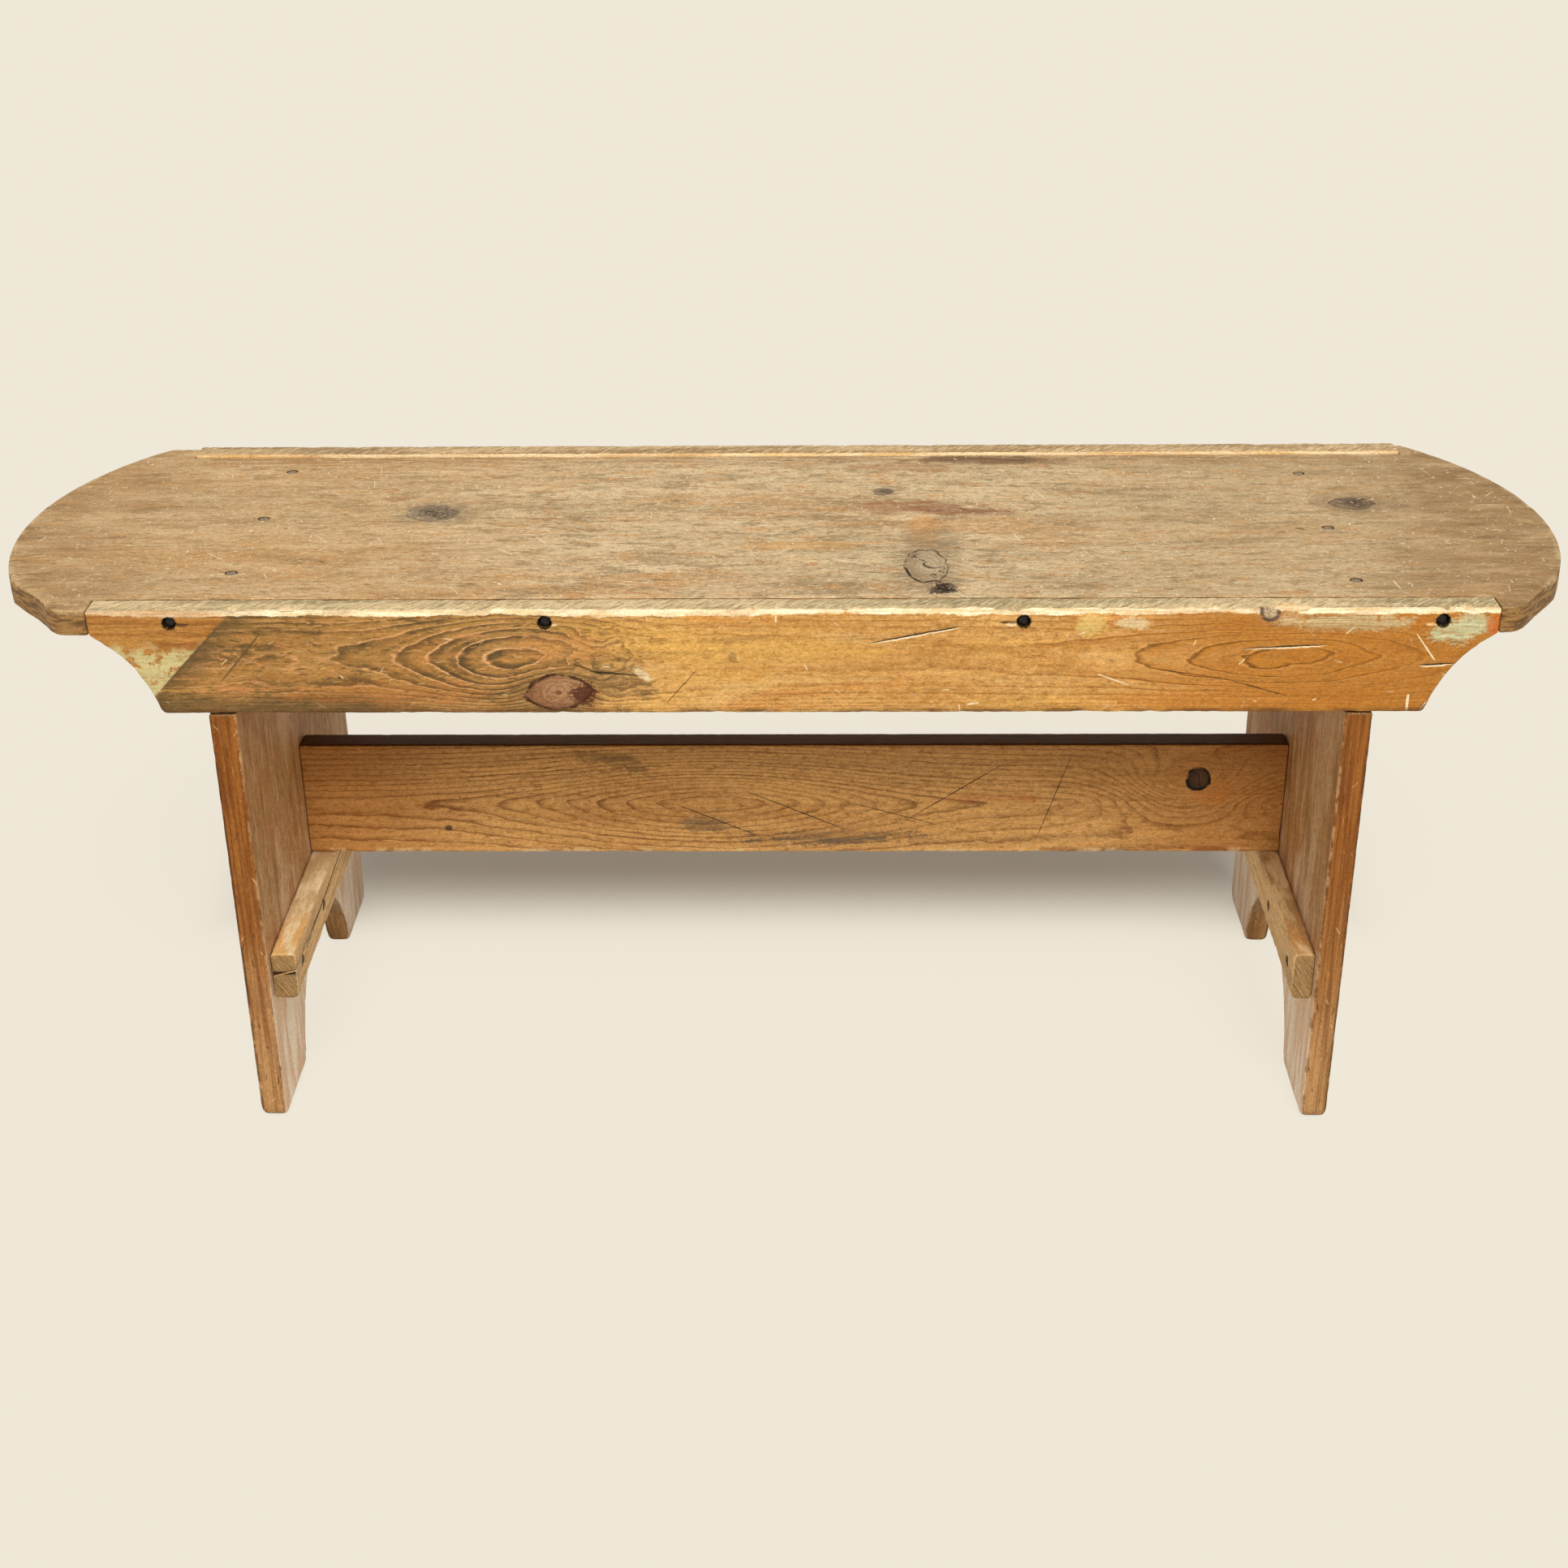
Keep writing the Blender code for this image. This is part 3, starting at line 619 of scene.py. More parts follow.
def shapeBoard(board):
    work = joinedCopy(board["node"])
    level = math.radians(wearing["level"])
    bmesh.ops.dissolve_limit(work, angle_limit=level, verts=work.verts, edges=work.edges)
    if "ears" in board:
        wearEars(work, board["ears"])
    low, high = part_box(board["node"])
    middle = (low + high) / 2
    along, across, through = [axis(letter) for letter in board["grain"]]
    order = ["xyz".index(letter) for letter in board["grain"]]
    a0, b0, c0 = [low[i] for i in order]
    a1, b1, c1 = [high[i] for i in order]
    cutThrough(work, along, spread(a0, a1, board["slice"]))
    inset = wearing["inset"]
    places = [b0 + d for d in inset] + [b1 - d for d in inset] + spread(b0, b1, wearing["sliceAcross"])
    cutThrough(work, across, places)
    cutThrough(work, through, [c0 + inset[0], (c0 + c1) / 2, c1 - inset[0]])
    work.normal_update()
    for mark in board.get("marks", ()):
        carve(work, board, mark, middle)
    work.normal_update()

    # the arrises are found by their slanting faces, and every point's distance from them is noted
    rim = {vert for face in work.faces if 0.1 < abs(face.normal.dot(through)) < 0.985 for vert in face.verts}
    tree = KDTree(len(rim))
    for i, vert in enumerate(rim):
        tree.insert(vert.co, i)
    tree.balance()
    layer = work.verts.layers.float.new("edge")
    shift = Vector((board["seed"] * 3.1, board["seed"] * 1.3, board["seed"] * 2.3))
    moves = {}
    for vert in work.verts:
        away = tree.find(vert.co)[2]
        vert[layer] = max(0.0, 1 - away / wearing["edgeBand"])
        if away > wearing["chipBand"]:
            continue
        a, b, c = [(vert.co - middle)[i] for i in order]
        chip = sum(noise.noise(vert.co * lumps + shift) * share for lumps, share in wearing["chipLumps"])
        chip = max(0.0, chip - wearing["chipFrom"]) * board["chip"](a, b, c)
        chip += abs(noise.noise(vert.co * wearing["crumbs"] + shift)) * board["crumble"]
        moves[vert] = vert.normal * -(chip * (1 - away / wearing["chipBand"]))
    for vert, move in moves.items():
        vert.co += move
    work.normal_update()
    piece = newPiece(work, board["name"], wearing["sharp"])
    for face in piece.data.polygons:
        face.use_smooth = max(abs(part) for part in face.normal) < wearing["flat"]  # sawn faces stay dead flat
    return piece


def newPiece(work, name, sharp):
    mesh = bpy.data.meshes.new(name)
    work.to_mesh(mesh)
    work.free()
    mesh.set_sharp_from_angle(angle=math.radians(sharp))
    piece = bpy.data.objects.new(name, mesh)
    bpy.context.scene.collection.objects.link(piece)
    return piece


def putOn(piece, node, stuff):
    piece.data.materials.clear()
    piece.data.materials.append(stuff)
    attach(piece, "root")
    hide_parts(node)


# Seat plank

# tones of a knot: halo, middle, outer part, rim and cracks
greyKnot = ((142, 118, 86), (206, 182, 142), (154, 124, 90), (84, 62, 44), (44, 30, 20))
darkKnot = ((150, 124, 88), (76, 58, 42), (152, 126, 94), (70, 52, 37), (32, 23, 16))
smokyKnot = ((150, 128, 98), (84, 68, 52), (176, 152, 118), (116, 96, 72), (52, 40, 30))

seat = {
    "node": "seat_board", "name": "seatPlank", "grain": "xyz", "face": 1, "seed": 2.0,
    "heart": 0.03, "soft": 0.02, "rate": 120, "tilt": 0, "pitch": 60, "run": 3,
    "drift": 4.0, "wave": 0.8, "lateFrom": 0.3,
    "eyes": [(-0.282, 0.021, 0.05, 0.03, 3), (0.111, -0.096, 0.06, 0.045, 5), (0.460, 0.037, 0.045, 0.022, 3),
             (0.082, 0.068, 0.03, 0.02, 2)],
    "early": (216, 185, 140), "late": (170, 132, 84), "bright": (232, 206, 164),
    "contrast": 0.4, "streaks": 0.3, "fibres": 0.55, "fuzz": 0.00014,
    "specks": ((122, 92, 56), (240, 216, 172), 0.65),  # dirt, bare wood and how much of both
    # tone, strength, lumps to a metre along and across, where it sets in and where it is full
    "patina": [((198, 146, 88), 0.65, 2.6, 9, 0.49, 0.62), ((182, 160, 120), 0.6, 2.3, 12, 0.50, 0.62),
               ((144, 114, 74), 0.6, 8, 34, 0.53, 0.65), ((230, 202, 156), 0.55, 9, 34, 0.50, 0.61),
               ((146, 122, 84), 0.7, 28, 90, 0.52, 0.64), ((206, 148, 84), 0.6, 30, 90, 0.53, 0.65)],
    # tone, strength, centre, size, turn, ragged, grit, follow
    "spots": [((96, 66, 38), 0.85, (0.165, 0.146), (0.075, 0.013), 0.0, 1.5, 1.0, 0.3),
              ((146, 92, 50), 0.6, (0.10, 0.128), (0.06, 0.014), 0.0, 1.6, 1.0, 0.6),
              ((140, 80, 42), 0.75, (0.105, 0.032), (0.060, 0.018), 0.0, 1.7, 1.0, 0.6),
              ((122, 72, 40), 0.8, (0.150, 0.020), (0.050, 0.010), 0.0, 1.6, 1.0, 0.5),
              ((222, 156, 84), 0.55, (0.112, -0.020), (0.016, 0.045), 0.0, 1.5, 1.0, 0.4),
              ((226, 168, 94), 0.6, (0.020, -0.052), (0.060, 0.010), 0.0, 1.5, 1.0, 0.5),
              ((118, 100, 76), 0.55, (0.116, -0.045), (0.030, 0.045), 0.0, 1.6, 1.0, 0.6),
              ((150, 84, 44), 0.55, (-0.317, 0.054), (0.016, 0.008), 0.0, 1.2, 0.8, 0.4),
              ((150, 128, 96), 0.5, (-0.262, 0.021), (0.045, 0.026), 0.0, 1.6, 1.0, 0.6),
              ((128, 106, 76), 0.6, (0.462, 0.037), (0.045, 0.028), 0.0, 1.6, 1.0, 0.6)],
    # centre, size, turn, lens, cracks, tones, halo, rim
    "knots": [((-0.282, 0.021), (0.022, 0.019), 0.2, 0.2, 2.0, smokyKnot, 0.6, 0.7),
              ((0.111, -0.096), (0.0165, 0.034), 0.0, 0.0, 1.0, greyKnot, 0.7, 0.95),
              ((0.460, 0.037), (0.019, 0.015), 0.0, 0.4, 2.0, darkKnot, 0.6, 0.7),
              ((0.082, 0.068), (0.0085, 0.0085), 0.0, 0.0, 2.0, smokyKnot, 0.6, 0.7)],
    # tone, strength, cells to a metre, length, width, share, slant, spread
    "scatter": [((112, 82, 50), 0.7, (60, 150), 0.014, 0.0010, 0.5, 0.0, 0.25),
                ((92, 66, 40), 0.6, (6, 45), 0.11, 0.0007, 0.5, 0.0, 0.04),
                ((246, 226, 184), 0.85, (20, 32), 0.034, 0.0008, 0.6, 0.0, 6.3),
                ((248, 230, 192), 0.8, (100, 140), 0.006, 0.0010, 0.45, 0.0, 6.3),
                ((70, 50, 32), 0.8, (16, 30), 0.010, 0.0017, 0.35, 0.0, 0.5),
                ((84, 60, 38), 0.6, (70, 110), 0.004, 0.0010, 0.35, 0.0, 6.3)],
    # the hole broken out of the plank beside the big knot
    "marks": [{"from": (0.1140, -0.1397), "to": (0.1292, -0.1397), "width": 0.0065, "depth": 0.0040, "step": 0.002}],
    "tear": [(0.0955, -0.100), (0.0985, -0.118), (0.107, -0.130), (0.119, -0.125)],  # from the big knot to the hole
    "ears": {"middle": 0.0085, "neck": 0.516, "from": -0.116, "full": -0.172, "left": 0.30, "right": 0.22},
    "slice": 0.005, "chip": lambda a, b, c: 0.0012, "crumble": 0.0003,
}


def finishSeat():
    wood = Pine(seat)
    far = wood.along + (wood.lumps(5, 14, 4, 60, 0.65) - 0.5) * 0.25
    wood.stain(wood.span(far, -0.10, -0.34) * 0.35, (190, 142, 84))
    wood.stain(wood.span(far, -0.46, -0.60) * 0.5, (156, 116, 68))
    wood.stain(wood.span(far, 0.12, 0.34) * 0.30, (172, 140, 96))
    wood.stain(wood.span(far, 0.40, 0.56) * 0.65, (146, 110, 66))
    back = wood.span(wood.across, 0.120, 0.150) * wood.span(abs(wood.along), 0.51, 0.48)
    wood.stain(back * wood.span(wood.flow, 0.35, 0.60) * 0.6, (150, 108, 64))
    wood.wear()
    # painted shade: the inside of the hole beside the big knot is painted near black, as the shade in a deep hole
    wood.addSpot((34, 24, 17), 0.96, (0.1225, -0.1397), (0.0140, 0.0145), 0.3, 1.8, 1.6, 0.0)
    for start, end in zip(seat["tear"], seat["tear"][1:]):
        wood.addLine((36, 25, 17), 0.95, start, end, 0.0016)
    ends = wood.span(abs(wood.along), 0.44, 0.58) * wood.front
    worn = wood.lumps(14, 40, 5, 64, 0.7)
    wood.stain(wood.span(worn, 0.51, 0.62) * ends * 0.6, (126, 94, 54))
    wood.stain(wood.span(worn, 0.48, 0.38) * ends * 0.5, (210, 176, 128))
    wood.addScatter((242, 218, 174), 0.8, (50, 80), 0.022, 0.0008, 0.55, 0.6, 2.0, ends)
    rim = wood.span(abs(wood.broadFace), 0.8, 0.45)
    sawn = wood.noise(wood.point, (60, 60, 420), 4, 0.65, 3.0)
    wood.stain(rim * 0.92, wood.blend(wood.span(sawn, 0.42, 0.58), (96, 66, 34), (156, 116, 66)))
    arris = wood.span(wood.edge, 0.60, 1.0) * wood.span(wood.through, 0.004, 0.008)
    arris = arris * wood.span(abs(wood.along), 0.500, 0.515)
    wood.stain(arris * wood.span(wood.lumps(50, 50, 4, 95), 0.46, 0.60) * 0.45, (222, 190, 142))
    return wood.finish(wood.flow * 0.2 + 0.50)


putOn(shapeBoard(seat), seat["node"], finishSeat())
print("seat plank made")


# Aprons

redKnot = ((124, 94, 54), (186, 140, 98), (122, 72, 46), (58, 32, 18), (60, 32, 18))
cream = (246, 222, 176)
pitch = (40, 26, 15)
soot = (96, 74, 42)

frontApron = {
    "node": "front_apron", "name": "frontApron", "grain": "xzy", "face": -1, "seed": 5.0,
    "heart": 0.003, "soft": 0.010, "rate": 62, "tilt": 0, "pitch": 60, "run": 1.5,
    "drift": 2.0, "wave": 0.7, "lateFrom": 0.45,
    "crowd": 1400000, "phase": 0.4,
    "eyes": [(-0.198, 0.001, 0.074, 0.046, -4.7), (-0.172, -0.0242, 0.030, 0.018, 4),
             (0.368, 0.004, 0.087, 0.030, -3.0), (0.3493, 0.0405, 0.02, 0.012, 3)],
    "swirls": [(-0.125, 0.004, 0.050, 0.028, 9.0), (-0.38, -0.010, 0.09, 0.04, 2.0),
               (0.36, 0.0, 0.10, 0.05, 1.2)],
    "early": (218, 166, 96), "late": (144, 92, 36), "bright": (232, 184, 114),
    "contrast": 1.0, "streaks": 0.3, "fibres": 0.6, "fuzz": 0.00014,
    "specks": ((132, 86, 36), (240, 196, 130), 0.55),
    "patina": [((190, 130, 60), 0.55, 3.5, 22, 0.48, 0.66), ((226, 174, 84), 0.6, 3, 16, 0.50, 0.62),
               ((212, 134, 62), 0.55, 5, 24, 0.51, 0.64), ((150, 112, 62), 0.45, 9, 60, 0.55, 0.70),
               ((238, 200, 130), 0.4, 12, 50, 0.54, 0.68)],
    "spots": [((182, 106, 46), 0.35, (-0.30, -0.024), (0.10, 0.012), 0.0, 1.4, 0.8, 0.7),
              ((206, 142, 78), 0.55, (-0.17, 0.012), (0.05, 0.012), 0.0, 1.4, 0.8, 0.6),
              ((96, 76, 44), 0.75, (-0.125, -0.016), (0.030, 0.016), 0.3, 1.6, 1.0, 0.8),
              ((224, 196, 116), 0.65, (0.221, 0.030), (0.014, 0.013), 0.4, 1.7, 1.3, 0.5),
              ((228, 208, 162), 0.7, (0.249, 0.031), (0.017, 0.006), 0.0, 1.4, 1.0, 0.3),
              ((142, 100, 54), 0.6, (-0.0423, 0.004), (0.0045, 0.005), 0.0, 0.4, 0.3, 0.0),
              ((236, 212, 168), 0.8, (-0.1085, -0.0105), (0.009, 0.004), 0.5, 1.6, 1.0, 0.3),
              ((208, 200, 156), 0.6, (0.405, 0.031), (0.055, 0.008), 0.0, 1.7, 1.3, 0.7),
              ((202, 212, 168), 0.8, (0.490, 0.026), (0.025, 0.013), -0.2, 1.6, 1.3, 0.5),
              ((196, 98, 32), 0.85, (0.514, 0.029), (0.009, 0.011), 0.0, 1.0, 0.8, 0.2),
              ((64, 40, 20), 0.85, (0.1585, 0.0312), (0.008, 0.0014), 0.0, 0.9, 0.8, 0.0),
              ((238, 208, 158), 0.9, (0.1620, 0.0294), (0.0055, 0.0018), 0.0, 0.9, 0.8, 0.0),
              ((64, 40, 20), 0.8, (-0.4460, 0.0305), (0.007, 0.0016), 0.0, 0.9, 0.8, 0.0),
              ((236, 204, 150), 0.8, (-0.1725, 0.0300), (0.0040, 0.0016), 0.0, 0.9, 0.8, 0.0),
              ((236, 204, 150), 0.7, (0.4665, 0.0290), (0.0060, 0.0016), 0.0, 0.9, 0.8, 0.0)],
    "knots": [((-0.172, -0.0245), (0.0265, 0.0150), -0.06, 0.75, 0.0, redKnot, 0.6, 0.95)],
    "scatter": [((108, 70, 30), 0.5, (60, 220), 0.016, 0.0007, 0.5, 0.0, 0.2),
                ((86, 54, 24), 0.55, (5, 60), 0.10, 0.0005, 0.5, 0.0, 0.05),
                ((248, 226, 182), 0.8, (26, 50), 0.011, 0.0010, 0.45, 0.0, 6.3),
                ((84, 54, 24), 0.6, (36, 80), 0.007, 0.0010, 0.25, 0.0, 1.0)],
    # tone, strength, from, to, width, lip
    "lines": [(pitch, 0.95, (0.059, 0.0146), (0.1263, 0.0280), 0.0009, cream),
              (pitch, 0.95, (0.3319, 0.0096), (0.3931, 0.0126), 0.0007, cream),
              (pitch, 0.95, (0.4617, -0.0038), (0.4870, -0.0024), 0.0009, cream),
              (cream, 0.85, (0.4570, 0.0215), (0.4725, 0.0002), 0.0009, None),
              (cream, 0.9, (0.4561, -0.0270), (0.4561, -0.0400), 0.0014, None),
              (cream, 0.7, (0.2260, -0.0100), (0.2500, -0.0190), 0.0009, None),
              (pitch, 0.75, (-0.0689, -0.0066), (-0.0926, -0.0343), 0.0006, None),
              (pitch, 0.7, (0.2713, -0.0065), (0.3200, -0.0140), 0.0006, None),
              (pitch, 0.75, (0.3200, -0.0140), (0.3670, -0.0280), 0.0007, None),
              (pitch, 0.8, (-0.148, -0.0075), (-0.112, -0.0105), 0.0010, None),
              (pitch, 0.7, (-0.160, -0.0010), (-0.138, -0.0100), 0.0011, None),
              (soot, 0.75, (-0.389, 0.0235), (-0.421, -0.0140), 0.0014, None),
              (soot, 0.8, (-0.4198, 0.0281), (-0.4676, -0.0222), 0.0016, None)],
    "holes": (-0.455, -0.179, 0.171, 0.475), "holeHeight": 0.0318,
    # gouge, split and end crack, cut into the face
    "marks": [{"from": (0.059, 0.0146), "to": (0.1263, 0.0280), "width": 0.0013, "depth": 0.0016, "step": 0.004},
              {"from": (0.3319, 0.0096), "to": (0.3931, 0.0126), "width": 0.0011, "depth": 0.0018, "step": 0.004},
              {"from": (0.4617, -0.0038), "to": (0.4850, -0.0025), "width": 0.0012, "depth": 0.0018, "step": 0.004}],
    "topTones": ((216, 190, 142), (170, 152, 112)), "bare": 1.0,
    # deep chips along the upper outer arris only
    "slice": 0.0035, "chip": lambda a, b, c: 0.007 if b > 0.03 and c < 0 else 0.0015, "crumble": 0.0005,
}
backApron = {**frontApron, "node": "back_apron", "name": "backApron", "face": 1, "seed": 7.0,
             "eyes": [(0.1, 0.0, 0.12, 0.03, -4)], "spots": [], "knots": [], "lines": [], "marks": [],
             "topTones": ((204, 170, 124), (158, 124, 84)), "bare": 0.6, "chip": lambda a, b, c: 0.002}


def weatherApron(wood):
    # the left half is rough and sooty, the right end browner, and scraps of old paint cling to both ends
    a, b = wood.along, wood.across
    cloud = wood.lumps(8, 30, 4, 60, 0.65)
    old = wood.span(a + (cloud - 0.5) * 0.16, -0.07, -0.20) * wood.front
    wood.stain(old * 0.75, (148, 104, 50))
    rough = wood.span(wood.lumps(22, 60, 4, 70, 0.65), 0.40, 0.60) * old
    wood.stain(wood.late * rough * 0.9, (100, 76, 42))
    wood.stain(wood.ridge * old * 0.55, (214, 158, 108))
    whorl = wood.hill((-0.222, 0), (0.080, 0.055)) * wood.front
    wood.stain(wood.late * whorl * 0.95, (90, 70, 42))
    wood.stain(wood.ridge * whorl * 0.95, (222, 170, 118))
    wood.addScatter((70, 52, 28), 0.75, (80, 260), 0.012, 0.0010, 0.7, 0.0, 0.5, old)
    wood.addScatter((226, 180, 116), 0.6, (80, 240), 0.010, 0.0008, 0.5, 0.0, 0.7, old)
    wood.stain(wood.span(wood.flow, 0.50, 0.64) * rough * 0.85, soot)
    wood.stain(wood.span(wood.lumps(45, 170, 4, 75, 0.7), 0.53, 0.66) * rough * 0.8, (88, 68, 40))
    wood.stain(wood.span(wood.lumps(38, 120, 4, 78, 0.7), 0.54, 0.68) * old * 0.6, (208, 140, 82))
    foot = wood.span(b + (cloud - 0.5) * 0.03, -0.020, -0.034) * wood.span(a, -0.24, -0.33)
    wood.stain(foot * wood.front * 0.65, (88, 70, 42))
    wood.stain(wood.span(a + (cloud - 0.5) * 0.2, 0.14, 0.38) * wood.front * 0.8, (168, 102, 26))
    eye = wood.hill((0.33, 0), (0.13, 0.06)) * wood.front
    wood.stain(wood.late * eye * 0.55, (198, 132, 52))
    wood.stain(wood.line * eye * 0.75, (98, 58, 20))
    wood.stain(wood.ridge * eye * 0.40, (224, 162, 84))
    wood.stain(wood.span(abs(a - 0.02), 0.16, 0.04) * wood.front * 0.25, (172, 120, 56))
    # paint left of a slanting line on the left end
    gone = wood.lumps(70, 90, 4, 84, 0.7)
    slope = (a + 0.4198) - (b - 0.0281) * 0.95 + (gone - 0.5) * 0.006
    left = wood.span(slope, 0.002, -0.002) * wood.front
    wood.stain(left * 0.8, wood.blend(wood.span(wood.flow, 0.40, 0.62), (186, 130, 62), (150, 92, 36)))
    paint = wood.span(b + (gone - 0.5) * 0.035, 0.018, 0.004) * wood.span(gone, 0.60, 0.51)
    flaked = wood.blend(wood.span(wood.grit, 0.45, 0.60) * 0.7, (210, 198, 142), (164, 140, 86))
    wood.stain(left * paint * 0.9, flaked)
    beside = wood.span(slope, 0.030, 0.002) * wood.span(slope, -0.003, 0.001) * wood.front
    wood.stain(beside * wood.span(wood.flow, 0.34, 0.56) * 0.8, soot)


def finishApron(board):
    wood = Pine(board)
    if board is frontApron:
        weatherApron(wood)
    wood.wear()
    if board is frontApron:
        wood.addSpot((78, 36, 22), 0.9, (-0.1535, -0.0265), (0.0115, 0.012), 0.0, 1.5, 1.6, 0.0)
        wood.addSpot((112, 68, 44), 0.85, (-0.1715, -0.0245), (0.0032, 0.0024), 0.0, 0.5, 0.4, 0.0)
    for hole in board["holes"]:
        # rust in the walls of the nail hole and a little way out over the face
        a, b = wood.along - hole, wood.across - board["holeHeight"]
        away = wood.math("SQRT", a * a + b * b) + (wood.grit - 0.5) * 0.004
        wood.stain(wood.span(away, 0.0060, 0.0050) * 0.95, (30, 20, 13))
    top = wood.span(wood.edgeFace, 0.90, 0.97) * wood.span(wood.across, 0.036, 0.039)
    flat = wood.join(wood.along, wood.through, 0.0)
    aslant = wood.join(wood.along + wood.through, wood.through - wood.along, 0.0)
    hatch = wood.noise(aslant, (60, 330, 0), 3, 0.65, 8.0)
    wood.stain(top * 0.9, wood.blend(wood.span(wood.lumps(6, 60, 4, 88), 0.40, 0.62), *board["topTones"]))
    wood.stain(top * wood.span(hatch, 0.52, 0.64) * 0.6, (118, 104, 74))
    wood.stain(top * wood.span(hatch, 0.48, 0.38) * 0.6, (238, 214, 168))
    wood.addScatter((104, 86, 58), 0.6, (130, 200), 0.008, 0.0009, 0.6, 0.75, 0.5, top, flat)
    # the worn upper arris shows bare wood, ragged along its lower side
    ragged = wood.lumps(26, 26, 5, 90, 0.7)
    arris = wood.span(wood.across + (ragged - 0.5) * 0.010, 0.0368, 0.0380) * wood.span(wood.edgeFace, 0.97, 0.90)
    bare = wood.blend(wood.span(wood.lumps(24, 420, 4, 92, 0.7), 0.44, 0.64), (255, 236, 194), (232, 196, 140))
    rubbed = wood.span(wood.lumps(16, 40, 4, 94), 0.34, 0.50, 0.45, 0.95)
    rubbed = rubbed * wood.span(wood.along, -0.44, -0.38, 0.4, 1.0)
    wood.stain(arris * rubbed * board["bare"], bare)
    if board is frontApron:
        wood.addKnot((0.3493, 0.0385), (0.0070, 0.0066), 0.0, 0.0, 3.0, greyKnot, 0.4, 0.95)
    low = wood.span(wood.edge, 0.55, 0.95) * wood.span(wood.across, -0.030, -0.038)
    wood.stain(low * wood.span(wood.lumps(30, 60, 3, 97), 0.35, 0.60) * 0.75, (92, 60, 28))
    return wood.finish(wood.flow * 0.2 + 0.42)


for board in (frontApron, backApron):
    putOn(shapeBoard(board), board["node"], finishApron(board))
print("aprons made")


# Legs

leftLeg = {
    "node": "left_leg", "name": "leftLeg", "grain": "zyx", "face": 1, "seed": 11.0,
    "heart": 0.05, "soft": 0.03, "rate": 90, "tilt": 0, "pitch": 50, "run": 3,
    "drift": 3.0, "wave": 0.8, "lateFrom": 0.3, "eyes": [],
    "early": (200, 157, 106), "late": (160, 112, 64), "bright": (220, 186, 140),
    "contrast": 0.4, "streaks": 0.5, "fibres": 0.6, "fuzz": 0.00012,
    "specks": ((124, 82, 44), (232, 200, 158), 0.55),
    "patina": [((150, 96, 46), 0.75, 5, 12, 0.49, 0.60), ((224, 190, 148), 0.75, 4, 13, 0.50, 0.61),
               ((234, 206, 166), 0.65, 14, 90, 0.52, 0.63), ((126, 82, 44), 0.65, 12, 80, 0.52, 0.63),
               ((178, 106, 54), 0.55, 26, 50, 0.53, 0.64)],
    "scatter": [((240, 214, 172), 0.65, (26, 34), 0.036, 0.0007, 0.6, 0.5, 1.2),
                ((242, 218, 178), 0.6, (80, 80), 0.008, 0.0008, 0.4, 0.0, 6.3),
                ((96, 64, 34), 0.6, (50, 110), 0.014, 0.0008, 0.5, 0.0, 0.3)],
    "slice": 0.005, "chip": lambda a, b, c: 0.0009, "crumble": 0.0003,
}
rightLeg = {**leftLeg, "node": "right_leg", "name": "rightLeg", "face": -1, "seed": 13.0}


def finishLeg(board):
    wood = Pine(board)
    wood.wear()
    # painted shade and light: the upper faces are painted darker where the seat and apron shade them, the lower faces
    # paler as painted light from the bright floor
    up = wood.along + (wood.lumps(6, 20, 3, 60) - 0.5) * 0.1
    wood.stain(wood.span(up, -0.12, 0.10) * 0.45, (166, 114, 58))
    pale = wood.blend(wood.span(wood.lumps(12, 80, 4, 62), 0.42, 0.58), (255, 240, 220), (234, 202, 170))
    wood.stain(wood.span(up, -0.02, -0.13) * (wood.front * 0.6 + 0.25), pale)
    # the narrow front and back edges: red-brown streaks, paler and scuffed towards the floor
    side = wood.span(abs(wood.edgeFace), 0.6, 0.9)
    streak = wood.noise(wood.point, (8, 30, 240), 4, 0.65, 5.0)
    red = wood.blend(wood.span(streak, 0.36, 0.64), (110, 57, 14), (152, 91, 31))
    pale = wood.blend(wood.span(streak, 0.36, 0.64), (142, 96, 48), (180, 134, 82))
    lift = wood.span(wood.along + (wood.lumps(18, 60, 4, 66) - 0.5) * 0.2, 0.02, -0.20)
    wood.stain(side * 0.94, wood.blend(lift, red, pale))
    strip = wood.join(wood.along, wood.through, 0.0)
    wood.addScatter((228, 192, 140), 0.55, (45, 140), 0.010, 0.0008, 0.35, 0.0, 1.6, side, strip)
    wood.addScatter((64, 38, 18), 0.7, (50, 160), 0.012, 0.0010, 0.5, 0.0, 0.6, side, strip)
    end = wood.span(abs(wood.endFace), 0.35, 0.75)
    wood.stain(end * 0.85, wood.blend(wood.span(wood.grit, 0.42, 0.60), (96, 70, 40), (150, 116, 72)))
    # arrises: rubbed pale on the inner side, darker on the outer
    inner = wood.span(wood.through * float(board["face"]), 0.0, 0.006)
    crumbs = wood.lumps(70, 120, 4, 95, 0.7)
    near = wood.span(wood.edge, 0.84, 1.0)
    wood.stain(near * inner * wood.span(crumbs, 0.46, 0.58) * 0.4, (208, 174, 124))
    wood.stain(near * inner * wood.span(crumbs, 0.46, 0.36) * 0.6, (96, 66, 36))
    wood.stain(near * (1.0 - inner) * wood.span(crumbs, 0.36, 0.52) * 0.7, (70, 44, 22))
    return wood.finish(wood.flow * 0.2 + 0.48)


for board in (leftLeg, rightLeg):
    putOn(shapeBoard(board), board["node"], finishLeg(board))
print("legs made")


# Stretcher

blackKnot = ((204, 146, 76), (92, 60, 36), (26, 21, 24), (18, 13, 12), (14, 11, 10))
scratch = (32, 22, 15)

